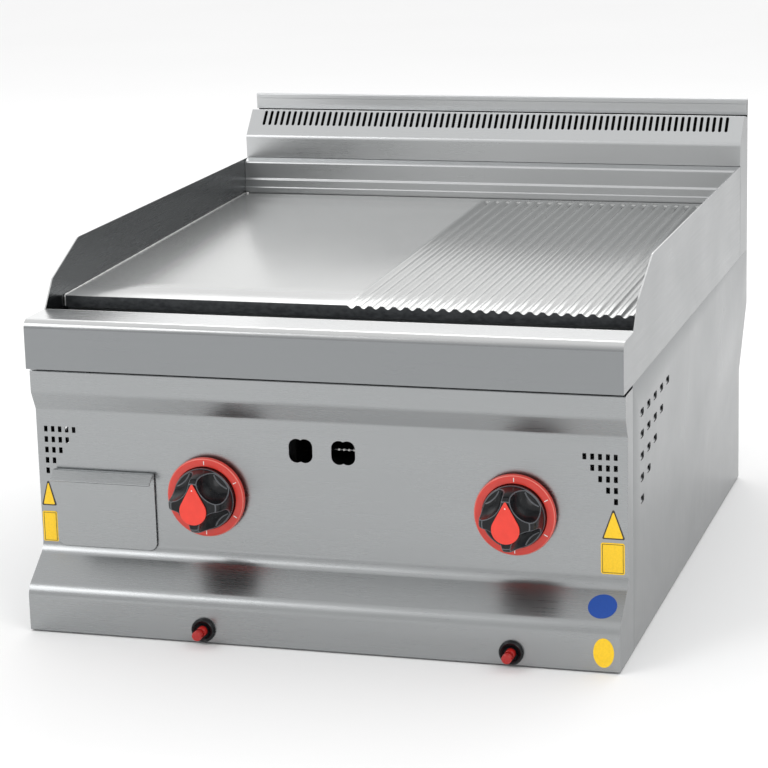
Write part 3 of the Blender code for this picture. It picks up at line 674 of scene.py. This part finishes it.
def welds():
    """The plate is seam-welded to both guards, down its front corners too."""
    for side, sign in SIDES.items():
        x = sign * (PLATE_HIGH.x - 0.0006)
        front = (x, PLATE_FRONT + 0.0005, plate_top(PLATE_FRONT) + 0.0002)
        back = (x, PLATE_BACK - 0.001, plate_top(PLATE_BACK) + 0.0002)
        bead(f"{side}_plate_weld", (front, back), 0.0009)
        bead(f"{side}_corner_weld", (front, (x, front[1], front[2] - 0.0115)), 0.0012)
        bead(f"{side}_rear_weld", (back, (x - sign * 0.005, back[1], back[2])), 0.0015)


# ---- flue and splashback ----
FLUE_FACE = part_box("flue_cover")[0].y - DEPTH_0
BACK = CAD_HIGH.y - DEPTH_0
FLUE_TOP = CAD_HIGH.z
FLUE_FOOT = 0.3703
SLOT_COUNT = 77
SLOT_PITCH = 0.0074


def splashback():
    points = [(0.6550, 0.3200), (0.6550, 0.3358, 0.001), (0.6556, 0.3366, 0.001),
              (0.6556, 0.3450, 0.0015), (0.6570, 0.3470, 0.0015), (0.6570, 0.3668, 0.003),
              (0.6670, 0.3700, 0.004), (0.6725, 0.3701)]
    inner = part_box("rear_splashback")[1].x
    piece = folded("splashback_sheet", points, -inner, inner, "rear_x", -SHEET)
    return finish_piece(soften(piece), "body", "stainless", "rear_splashback")


def flue():
    """Flue cover: an upright face, a slotted slope and two cheeks down to the back."""
    low, high = Vector((0.6755, 0.4020)), Vector((0.6970, 0.4247))
    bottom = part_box("flue_cover")[0].z
    corner, skin = FLUE_FACE + 0.0018, FLUE_FACE + SHEET
    outer = rounded([(corner, bottom), (corner, FLUE_FOOT), (FLUE_FACE, FLUE_FOOT + 0.0001),
                     (FLUE_FACE, 0.3962, 0.008), (*high, 0.0015), (0.7120, 0.4220),
                     (0.7200, 0.4200), (0.7200, bottom)], closed=True)
    inner = [(corner - 0.004, bottom - 0.01), (corner - 0.004, FLUE_FOOT), (skin, FLUE_FOOT)]
    inner += rounded([(skin, FLUE_FOOT), (skin, 0.3957, 0.0065),
                      (high.x + 0.0004, high.y - SHEET - 0.0005), (0.7120, 0.4220 - SHEET)])[1:]
    inner += [(0.7125, 0.43), (0.73, 0.43), (0.73, bottom - 0.01)]
    cover = hollow("flue_cover_shell", outer, inner, HALF, ("rear_x", "steel_z"))
    soften(cover, 0.0004, segments=3)
    outlines = [stadium((i - (SLOT_COUNT - 1) / 2) * SLOT_PITCH, 0, 0.0018, 0.0105)
                for i in range(SLOT_COUNT)]
    slots = prisms("z", outlines, -0.006, 0.006)
    middle = (low + high) / 2 + (high - low).normalized() * 0.0030
    slope = atan2(high.y - low.y, high.x - low.x)
    slots.matrix_world = (Matrix.Translation((0, y_at(middle.x), middle.y))
                          @ Matrix.Rotation(slope, 4, "X"))
    return finish_piece(cut(cover, slots), "body", "stainless", "flue_cover")


def flue_back():
    """Rear sheet, hemmed along its top and folded forward into the upstand."""
    points = [(BACK, NOSE_BOTTOM), (BACK, FLUE_TOP, 0.0020), (0.7135, FLUE_TOP, 0.0020),
              (0.7135, 0.4365), (0.7138, 0.4361), (0.7138, 0.4235)]
    piece = folded("flue_rear_sheet", points, -HALF, HALF, "rear_x", SHEET)
    for look in ("flue_inside_dark", "steel_x"):
        piece.data.materials.append(LOOKS[look])
    # On the sheet's upright part, the face inside the flue is near-black and the face at the back
    # is plain steel.
    for face in piece.data.polygons:
        if face.center.z < FLUE_TOP - SHEET and face.center.y > y_at(0.7140):
            inside, behind = face.normal.y < -0.5, face.normal.y > 0.5
            face.material_index = 1 if inside else 2 if behind else 0
    return finish_piece(soften(piece), "body", "stainless", "flue_back_panel")


# ---- body sheets ----
SEAM = 0.0425                   # where the front panel's cheeks meet the side panels
REAR_FACE = 0.6680              # outer face of the rear sheet's lower part
REAR_STEP = 0.1300              # height at which the rear starts to lean back
SIDE_TOP = NOSE_BOTTOM - 0.0003
SKIRT_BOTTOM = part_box("front_panel")[0].z
FRONT_TOP = NOSE_BOTTOM - 0.0028
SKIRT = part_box("front_panel")[0].y - DEPTH_0
FACE = 0.0175                   # depth of the recessed control face
PEEPHOLE_Z = 0.1897
DRAWER_LOW, DRAWER_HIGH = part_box("drawer_front")
TRAY_LOW, TRAY_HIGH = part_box("drawer_tray")


def middle_of(node):
    low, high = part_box(node)
    return (low + high) / 2


def front_vents():
    """Two triangles of small vents, mirrored left and right."""
    vents = []
    for row in range(5):
        z = 0.1991 - row * 0.0108
        for column in range(5 - row):
            for x in (-0.2903 + column * 0.0075, 0.2883 - column * 0.0075):
                corners = [(u, v, 0.0005) for u, v in
                           rectangle(x - 0.0019, x + 0.0019, z - 0.0030, z + 0.0030)]
                vents.append(rounded(corners, closed=True, steps=3))
    return vents


def peephole(x):
    """Two round-ended slots side by side that run into each other."""
    pair = [prism("peephole", "y", stadium(x + shift, PEEPHOLE_Z, 0.0078, 0.0120, 14),
                  y_at(0), y_at(0.03)) for shift in (-0.0043, 0.0043)]
    return join(*pair)


def control_panel():
    """Top band, recessed control face and rolled-out skirt, bent from one sheet."""
    back = SEAM - 0.0009
    line = rounded([(back, FRONT_TOP), (0.0082, FRONT_TOP, 0.0016), (0.0082, 0.2388, 0.012),
                    (FACE, 0.2194, 0.007), (FACE, 0.0760, 0.018), (SKIRT, 0.0448, 0.018),
                    (SKIRT, SKIRT_BOTTOM, 0.0012), (back, SKIRT_BOTTOM)], steps=10)
    foot, past = (SKIRT + 0.0120, SKIRT_BOTTOM + SHEET), back + 0.01
    inner = [(past, FRONT_TOP - SHEET)] + offset_line(line, SHEET)[1:-1]
    inner += [foot, (foot[0], -0.01), (past, -0.01)]
    panel = hollow("control_panel", line, inner, HALF, ("steel_x", "steel_z"))
    soften(panel, 0.0006, segments=3)
    aperture = rectangle(TRAY_LOW.x - 0.0015, TRAY_HIGH.x + 0.0015,
                         DRAWER_LOW.z + 0.0070, TRAY_HIGH.z + 0.0020)
    cutters = [prisms("y", front_vents() + [aperture], y_at(0), y_at(0.03)),
               peephole(-0.0229), peephole(0.0204)]
    for side in SIDES:
        for node, radius, start, end in ((f"knob_skirt_{side}", 0.0090, 0.0, 0.03),
                                         (f"igniter_bezel_{side}", 0.0062, -0.03, 0.0)):
            at = middle_of(node)
            cutters.append(prism("hole", "y", arc(at.x, at.z, radius, 0, 360, 32)[:-1],
                                 y_at(start), y_at(end)))
    return finish_piece(cut(panel, *cutters), "body", "stainless", "front_panel")


def side_vents():
    """Depth and height of each side vent: five rows, each a vent shorter than the one above."""
    return [(0.0860 + column * 0.0330, 0.2268 - row * 0.0216)
            for row in range(5) for column in range(5 - row)]


def side_panels():
    """Flat side sheets with rows of louvre slots."""
    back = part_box("right_side_panel")[1].y - DEPTH_0
    outline = in_place([(SEAM, SKIRT_BOTTOM), (REAR_FACE, SKIRT_BOTTOM), (REAR_FACE, REAR_STEP),
                        (back, 0.2000), (back, SIDE_TOP), (SEAM, SIDE_TOP)])
    slots = [[(y_at(v), u) for u, v in stadium(height, depth, 0.0038, 0.0090)]
             for depth, height in side_vents()]
    for side, sign in SIDES.items():
        panel = prism(f"{side}_side_sheet", "x", outline, sign * (HALF - SHEET), sign * HALF,
                      "steel_z")
        soften(panel, 0.0004)
        cut(panel, prisms("x", slots, sign * 0.28, sign * 0.32))
        finish_piece(panel, "body", "stainless", f"{side}_side_panel")


def louvre_tongues():
    """A tongue behind every side vent, pressed inward from the slot's lower edge."""
    for side, sign in SIDES.items():
        bm = bmesh.new()
        edge, deep = sign * (HALF - SHEET * 0.55), sign * (HALF - 0.0050)
        for depth, z in side_vents():
            y = y_at(depth)
            reach = [(edge, y - 0.0030, z - 0.0039), (edge, y + 0.0088, z - 0.0039),
                     (deep, y + 0.0088, z + 0.0018), (deep, y - 0.0030, z + 0.0018)]
            bm_slab(bm, reach, [(x - sign * 0.0008, v, w - 0.0006) for x, v, w in reach])
        tongues = new_object(f"{side}_louvres", bm, "steel_y")
        finish_piece(tongues, "body", "stainless")


def pilot_sight():
    """Ceramic beads of the ignition lead, seen across the right peephole."""
    y, z = y_at(0.0300), PEEPHOLE_Z
    start, end, wire = 0.0085, 0.0335, 0.0006
    lead = turned("ignition_lead", "x", (y, z), [(0, start), (wire, start), (wire, end),
                                                 (0, end)], "zinc", 16)
    finish_piece(lead, "body", "stainless")
    for number in range(4):
        x = 0.0125 + number * 0.0052
        profile = [(0, x - 0.0012), (0.0010, x - 0.0010), (0.0013, x), (0.0010, x + 0.0010),
                   (0, x + 0.0012)]
        bead_piece = turned(f"lead_bead_{number}", "x", (y, z), profile, "white", 16)
        bead_piece.data.shade_smooth()
        finish_piece(bead_piece, "body", "ceramic")


def rear_sheet():
    """Rear sheet with a row of air slots and the hole for the gas inlet."""
    points = [(REAR_FACE, SKIRT_BOTTOM), (REAR_FACE, REAR_STEP, 0.003), (BACK, 0.2000, 0.003),
              (BACK, SIDE_TOP)]
    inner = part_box("rear_panel")[1].x
    panel = folded("rear_sheet", points, -inner, inner, "steel_x")
    inlet = middle_of("gas_inlet_nipple")
    holes = [stadium(0.0300 * i, 0.0600, 0.0030, 0.0200) for i in range(-4, 5)]
    holes.append(arc(inlet.x, inlet.z, 0.0130, 0, 360, 40)[:-1])
    soften(panel, 0.0003)
    cut(panel, prisms("y", holes, y_at(0.65), y_at(0.68)))
    return finish_piece(panel, "body", "stainless", "rear_panel")


def screw(name, x, y, z):
    """Pan-head screw with a cross recess, driven in from behind."""
    profile = [(0, y), (0.0040, y), (0.0040, y + 0.0006), (0.0034, y + 0.0016),
               (0.0018, y + 0.0021), (0, y + 0.0022)]
    head = turned(name, "y", (x, z), profile, "steel_z", 28)
    arms = [rectangle(x - a, x + a, z - b, z + b) for a, b in ((0.0019, 0.0004), (0.0004, 0.0019))]
    cross = join(*[prism("arm", "y", arm, y + 0.0010, y + 0.0030) for arm in arms])
    cut(head, cross)
    return finish_piece(soften(head, 0.00012), "body", "stainless")


def rear_screws():
    """Screws that hold the rear sheet to the sides and the base."""
    places = [(sign * 0.288, z) for sign in SIDES.values() for z in (0.018, 0.066, 0.1175)]
    places += [(x, 0.014) for x in (-0.145, 0.0, 0.145)]
    for number, (x, z) in enumerate(places):
        screw(f"rear_screw_{number}", x, y_at(REAR_FACE), z)


# ---- controls ----
def knob_ring(side):
    """Flat skirt ring with a rolled rim and four white setting marks."""
    low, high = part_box(f"knob_skirt_{side}")
    at = middle_of(f"knob_skirt_{side}")
    outer = (high.x - low.x) / 2
    inner = outer - 0.0085
    front, back = low.y, high.y
    profile = [(inner, back), (inner, front + 0.0006), (inner + 0.0006, front),
               (outer - 0.0026, front), (outer - 0.0012, front + 0.0003),
               (outer - 0.0004, front + 0.0010), (outer, front + 0.0022), (outer, back - 0.0004),
               (outer - 0.0004, back)]
    ring = turned(f"knob_ring_{side}", "y", (at.x, at.z), profile, "ring_red", 96, closed=True)
    ring.data.materials.append(LOOKS["ring_painted_highlight"])
    # Painted highlight: the front of the outer rim takes the paler red.
    for face in ring.data.polygons:
        distance = hypot(face.center.x - at.x, face.center.z - at.z)
        face.material_index = int(outer - 0.0013 < distance < outer - 0.0003
                                  and face.normal.y < -0.2)
    smooth(ring, 38)
    finish_piece(ring, f"{side}_knob", "red_plastic", f"knob_skirt_{side}")
    for number, clock in enumerate((0, 62, 120, 180)):
        turn = radians(90 - clock)
        mark = bm_prism("y", rectangle(outer - 0.0066, outer - 0.0026, -0.00045, 0.00045),
                        front - 0.00012, front + 0.0004)
        bmesh.ops.rotate(mark, verts=mark.verts, cent=(0, 0, 0),
                         matrix=Matrix.Rotation(-turn, 3, "Y"))
        bmesh.ops.translate(mark, verts=mark.verts, vec=(at.x, 0, at.z))
        finish_piece(new_object(f"knob_mark_{side}_{number}", mark, "white"), f"{side}_knob",
                     "ceramic")


FLUTE = 0.0222                  # radius of the grip's flutes
GRIP_FOOT = 0.0302              # radius of the grip where it meets its base


def star_ring(radius, hub, samples=14, tips=10):
    """Section of the grip: a circle of a radius bitten by four round flutes.

    hub is how far the flutes' centres lie from the knob's axis.
    """
    reach = (radius ** 2 + hub ** 2 - FLUTE ** 2) / (2 * radius * hub)
    half = acos(max(-1.0, min(1.0, reach)))
    points = []
    for quarter in range(4):
        middle = pi / 4 + quarter * pi / 2
        for i in range(samples + 1):
            away = -half + 2 * half * i / samples
            bite = hub * cos(away) - sqrt(max(0.0, FLUTE ** 2 - (hub * sin(away)) ** 2))
            points.append((middle + away, min(radius, bite)))
        tip = pi / 2 - 2 * half
        points += [(middle + half + tip * i / tips, radius) for i in range(1, tips)]
    return points


def knob_grip(side):
    """Four-armed grip with dished flutes that end on a round base."""
    grip_low, grip_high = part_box(f"knob_grip_{side}")
    at = middle_of(f"knob_grip_{side}")
    front, back = grip_low.y, grip_high.y
    base = (grip_high.x - grip_low.x) / 2
    levels = [(front, 0.0232), (front + 0.0010, 0.0243), (front + 0.0030, 0.0262),
              (front + 0.0060, 0.0276), (front + 0.0120, 0.0284), (front + 0.0180, 0.0290),
              (front + 0.0230, 0.0296), (front + 0.0255, 0.0300), (front + 0.0270, GRIP_FOOT)]
    floor, bore = front + 0.0275, 0.0043
    bm = bmesh.new()

    def around(y, polar):
        return new_ring(bm, [(at.x + r * cos(t), y, at.z + r * sin(t)) for t, r in polar])

    rings = []
    for y, radius in levels:
        share = (y - front) / (floor - front)
        rings.append(around(y, star_ring(radius, 0.0370 + 0.0110 * share ** 3.2)))
    angles = [t for t, _ in star_ring(GRIP_FOOT, 0.0480)]
    for y, radius in ((floor, 0.0304), (floor + 0.0012, base), (back, base)):
        rings.append(around(y, [(t, radius) for t in angles]))
    bm_bands(bm, rings)
    bm.faces.new(rings[0])
    socket = [rings[-1]] + [around(y, [(t, bore) for t in angles]) for y in (back, front + 0.0161)]
    bm_bands(bm, socket)
    bm.faces.new(socket[-1])
    grip = new_object(f"knob_star_{side}", bm, "black")
    # The bevels take the paler black: wear, and a painted highlight.
    soften(grip, 0.0008, angle=28, segments=3, edge_look="black_edge_wear_and_highlight")
    return finish_piece(grip, f"{side}_knob", "black_plastic", f"knob_grip_{side}")


def knob_insert(side):
    """Raised teardrop that points at the setting."""
    low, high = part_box(f"knob_insert_{side}")
    centre_z = middle_of(f"knob_skirt_{side}").z
    x = (low.x + high.x) / 2
    radius, tangent = (high.x - low.x) / 2, 28
    outline = arc(0, -0.0040, radius, tangent, -180 - tangent, 48)
    outline += [(-0.0013, 0.0222), (-0.0007, 0.0231), (0, 0.0234), (0.0007, 0.0231),
                (0.0013, 0.0222)]
    drop = prism(f"knob_pointer_{side}", "y", [(x + u, centre_z + v) for u, v in outline],
                 low.y, high.y, "insert_red")
    soften(drop, 0.0006, angle=40, segments=3)
    finish_piece(drop, f"{side}_knob", "red_plastic", f"knob_insert_{side}")
    dot = turned(f"knob_dot_{side}", "y", (x, centre_z + 0.0172),
                 [(0, low.y - 0.00008), (0.0007, low.y - 0.00008), (0.0007, low.y + 0.0003),
                  (0, low.y + 0.0003)], "white", 16)
    return finish_piece(dot, f"{side}_knob", "ceramic")


def igniter(side):
    """Dished bezel and the push button that stands out of it."""
    low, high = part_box(f"igniter_bezel_{side}")
    at = middle_of(f"igniter_bezel_{side}")
    outer, front, back = (high.x - low.x) / 2, low.y, high.y
    profile = [(0.0056, back), (outer, back), (outer, front + 0.0022),
               (outer - 0.0006, front + 0.0008), (outer - 0.0016, front),
               (outer - 0.0028, front + 0.0003), (outer - 0.0042, front + 0.0022),
               (0.0066, front + 0.0026), (0.0060, front + 0.0012), (0.0056, front + 0.0012)]
    bezel = turned(f"igniter_rim_{side}", "y", (at.x, at.z), profile, "black", 64, closed=True)
    smooth(bezel, 50)
    finish_piece(bezel, "body", "black_plastic", f"igniter_bezel_{side}")
    tip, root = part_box(f"igniter_button_{side}")[0].y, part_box(f"igniter_button_{side}")[1].y
    profile = [(0, tip), (0.0034, tip), (0.0044, tip + 0.0004), (0.0049, tip + 0.0014),
               (0.0049, tip + 0.0100), (0.0044, tip + 0.0106), (0.0044, tip + 0.0112),
               (0.0049, tip + 0.0118), (0.0049, root), (0, root)]
    button = turned(f"igniter_push_{side}", "y", (at.x, at.z), profile, "button_red", 48)
    smooth(button, 50)
    finish_piece(button, f"{side}_igniter_button", "red_plastic", f"igniter_button_{side}")


# ---- grease drawer ----
def drawer_face():
    """Drawer front with its top edge bent out and down into a grip, and rounded lower corners."""
    low, high = DRAWER_LOW.z, DRAWER_HIGH.z - 0.0015
    points = [(0.0020, high - 0.0090), (0.0120, high - 0.0005, 0.0020), (0.0145, high, 0.0012),
              (0.0145, low)]
    face = folded("drawer_face", points, DRAWER_LOW.x, DRAWER_HIGH.x, "steel_x")
    radius, corners = 0.008, []
    for x, sign in ((DRAWER_LOW.x, -1), (DRAWER_HIGH.x, 1)):
        outline = [(x + sign * 0.001, low - 0.001)]
        outline += arc(x - sign * radius, low + radius, radius, 270, 270 + sign * 90, 12)
        corners.append(prism("corner", "y", outline, y_at(0), y_at(0.03)))
    cut(face, *corners)
    return finish_piece(soften(face, 0.0004, segments=3), "grease_drawer", "stainless",
                        "drawer_front")


# ---- gas inlet ----
def inlet_nipple():
    """Threaded nipple and its hexagon, bored for the supply."""
    low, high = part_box("gas_inlet_nipple")
    at = middle_of("gas_inlet_nipple")
    back, radius = high.y, 0.0105
    profile = [(0, low.y), (0.0110, low.y), (0.0110, y_at(0.6560)), (0.0098, y_at(0.6565)),
               (0.0098, y_at(0.6640))]
    turns = 16
    start, pitch = y_at(0.6645), 0.0018
    for i in range(turns):
        profile += [(radius - 0.0011, start + pitch * i), (radius, start + pitch * (i + 0.5))]
    profile += [(radius - 0.0011, start + pitch * turns), (radius - 0.0014, back), (0.0070, back),
                (0.0070, y_at(0.6700)), (0, y_at(0.6700))]
    nipple = turned("inlet_nipple", "y", (at.x, at.z), profile, "brass", 48)
    smooth(nipple, 30)
    finish_piece(nipple, "body", "brass", "gas_inlet_nipple")
    hexagon = arc(at.x, at.z, 0.0158, 0, 360, 6)[:-1]
    nut = prism("inlet_hexagon", "y", hexagon, y_at(0.6562), y_at(0.6640), "brass")
    finish_piece(soften(nut, 0.0006, segments=3), "body", "brass")


# ---- plain labels ----
def label(name, outline, y, look, thickness=0.00018):
    """A thin film on a flat face that looks towards the front."""
    return finish_piece(prism(name, "y", outline, y - thickness, y, look), "body", "ceramic")


def triangle(x0, x1, z0, z1, radius):
    return rounded([(x0, z0, radius), (x1, z0, radius), ((x0 + x1) / 2, z1, radius)], closed=True)


def inset(x0, x1, z0, z1, by):
    return x0 + by, x1 - by, z0 + by, z1 - by


def labels():
    """Blank labels in the colours of the real ones, with a border line and no symbol."""
    face = y_at(FACE) - 0.0001
    for name, spot in (("left", (-0.2990, -0.2830, 0.0815, 0.1135)),
                       ("right", (0.2735, 0.2965, 0.0845, 0.1155))):
        corners = [(u, v, 0.0022) for u, v in rectangle(*spot)]
        label(f"{name}_square_label", rounded(corners, closed=True), face, "yellow")
        label(f"{name}_square_line", frame_outline(spot), face - 0.0002, "label_black", 0.0001)
    for name, spot in (("left", (-0.2990, -0.2830, 0.1195, 0.1480)),
                       ("right", (0.2745, 0.2970, 0.1190, 0.1500))):
        label(f"{name}_triangle_label", triangle(*spot, 0.0012), face, "label_black")
        x0, x1, z0, z1 = spot
        label(f"{name}_triangle_centre", triangle(x0 + 0.0019, x1 - 0.0019, z0 + 0.0013,
                                                  z1 - 0.0034, 0.0007),
              face - 0.0002, "yellow", 0.0001)


def frame_outline(spot):
    """A thin ring just inside a label's edge, as one outline that goes out and comes back."""
    x0, x1, z0, z1 = inset(*spot, 0.0013)
    a0, a1, b0, b1 = inset(*spot, 0.0018)
    return [(x0, z0), (x1, z0), (x1, z1), (x0, z1), (x0, z0 + 1e-5),
            (a0, b0 + 1e-5), (a0, b1), (a1, b1), (a1, b0), (x0, b0)]


def skirt_labels():
    """The blue disc on the skirt's slope and the yellow one below it."""
    radius, film = 0.0139, 0.0002
    disc = turned("blue_disc_label", "z", (0, 0), [(0, 0), (radius, 0), (radius, film), (0, film)],
                  "blue", 64)
    slope = atan2(0.0760 - 0.0448, FACE - SKIRT)
    disc.matrix_world = (Matrix.Translation((0.2795, y_at(-0.0050), 0.0448 + 0.0200 * tan(slope)))
                         @ Matrix.Rotation(slope, 4, "X"))
    finish_piece(disc, "body", "ceramic")
    low = [(0.2845 + 0.0100 * cos(t), 0.0205 + 0.0145 * sin(t))
           for t in (2 * pi * i / 48 for i in range(48))]
    label("yellow_disc_label", low, y_at(SKIRT) - 0.0001, "yellow")


# ---- carried-over CAD nodes ----
def dress_cad_nodes():
    """Better materials on the parts that keep their CAD shape."""
    looks = {"stainless": "steel_x", "griddle_steel": "plate", "galvanised": "zinc",
             "cast_iron": "iron", "brass": "brass", "black_plastic": "black",
             "red_plastic": "ring_red", "ceramic": "ceramic", "rubber": "rubber"}
    slots = {entry["node"]: entry["material_slot"] for entry in frame["record"]["subparts"]}
    for name, node in frame["nodes"].items():
        if not node.hide_render:
            node.data.materials.clear()
            node.data.materials.append(LOOKS[looks[slots[name]]])


# ---- stage ----
def camera():
    """The photograph's viewpoint: low, to the right of the middle, with a long lens."""
    yaw, pitch, roll = radians(-16.89), radians(13.71), radians(-1.57)
    look = Vector((sin(yaw) * cos(pitch), cos(yaw) * cos(pitch), -sin(pitch)))
    right = Vector((cos(yaw), -sin(yaw), 0))
    up = right.cross(look)
    side = right * cos(roll) + up * sin(roll)
    top = up * cos(roll) - right * sin(roll)
    data = bpy.data.cameras.new("camera")
    data.sensor_width = 36.0
    data.lens = 124.6
    data.clip_start, data.clip_end = 0.1, 100
    obj = bpy.data.objects.new("camera", data)
    obj.matrix_world = Matrix.Translation((0.780, -2.6795, 0.862)) @ Matrix(
        (side, top, -look)).transposed().to_4x4()
    bpy.context.scene.collection.objects.link(obj)
    bpy.context.scene.camera = obj


def floor():
    bm = bmesh.new()
    reach = 30
    bm.faces.new(new_ring(bm, [(x, y, 0) for x, y in rectangle(-reach, reach, -reach, reach)]))
    plane = new_object("floor", bm, "floor")


def soft_light(name, place, aim, width, height, radiance):
    """A rectangular soft box of a given brightness."""
    data = bpy.data.lights.new(name, "AREA")
    data.shape = "RECTANGLE"
    data.size, data.size_y = width, height
    data.energy = radiance * pi * width * height
    obj = bpy.data.objects.new(name, data)
    obj.location = place
    obj.rotation_mode = "QUATERNION"
    obj.rotation_quaternion = (Vector(aim) - Vector(place)).to_track_quat("-Z", "Y")
    bpy.context.scene.collection.objects.link(obj)


def studio():
    """A soft white surround, brighter behind and darker overhead, with three soft boxes."""
    n = Nodes(bpy.data.worlds.new("studio"), "Background")
    facing = n.add("ShaderNodeTexCoord").outputs["Generated"]
    facing = n.add("ShaderNodeSeparateXYZ", {"Vector": facing}).outputs
    around = n.remap(facing["Y"], -0.7, 0.9, 0.80, 1.30, interpolation_type="SMOOTHSTEP")
    strength = n.remap(facing["Z"], 0.66, 0.95, around, 1.00, interpolation_type="SMOOTHSTEP")
    bpy.context.scene.world = n.shade(Color=rgba(1.0, 1.0, 1.0), Strength=strength)
    soft_light("back_box", (-0.1, 2.4, 2.5), (0, 0, 0.3), 3.0, 0.9, 2.6)
    soft_light("left_box", (-2.3, -2.6, 2.5), (0, 0, 0.1), 1.8, 1.8, 3.0)
    soft_light("right_box", (2.6, -2.4, 2.5), (0, 0, 0.1), 1.8, 1.8, 2.0)
    bpy.context.scene.view_settings.view_transform = "Standard"


worktop()
griddle_plate()
welds()
splashback()
flue()
flue_back()
control_panel()
side_panels()
louvre_tongues()
pilot_sight()
rear_sheet()
rear_screws()
for one_side in SIDES:
    knob_ring(one_side)
    knob_grip(one_side)
    knob_insert(one_side)
    igniter(one_side)
drawer_face()
inlet_nipple()
labels()
skirt_labels()
dress_cad_nodes()
camera()
floor()
studio()
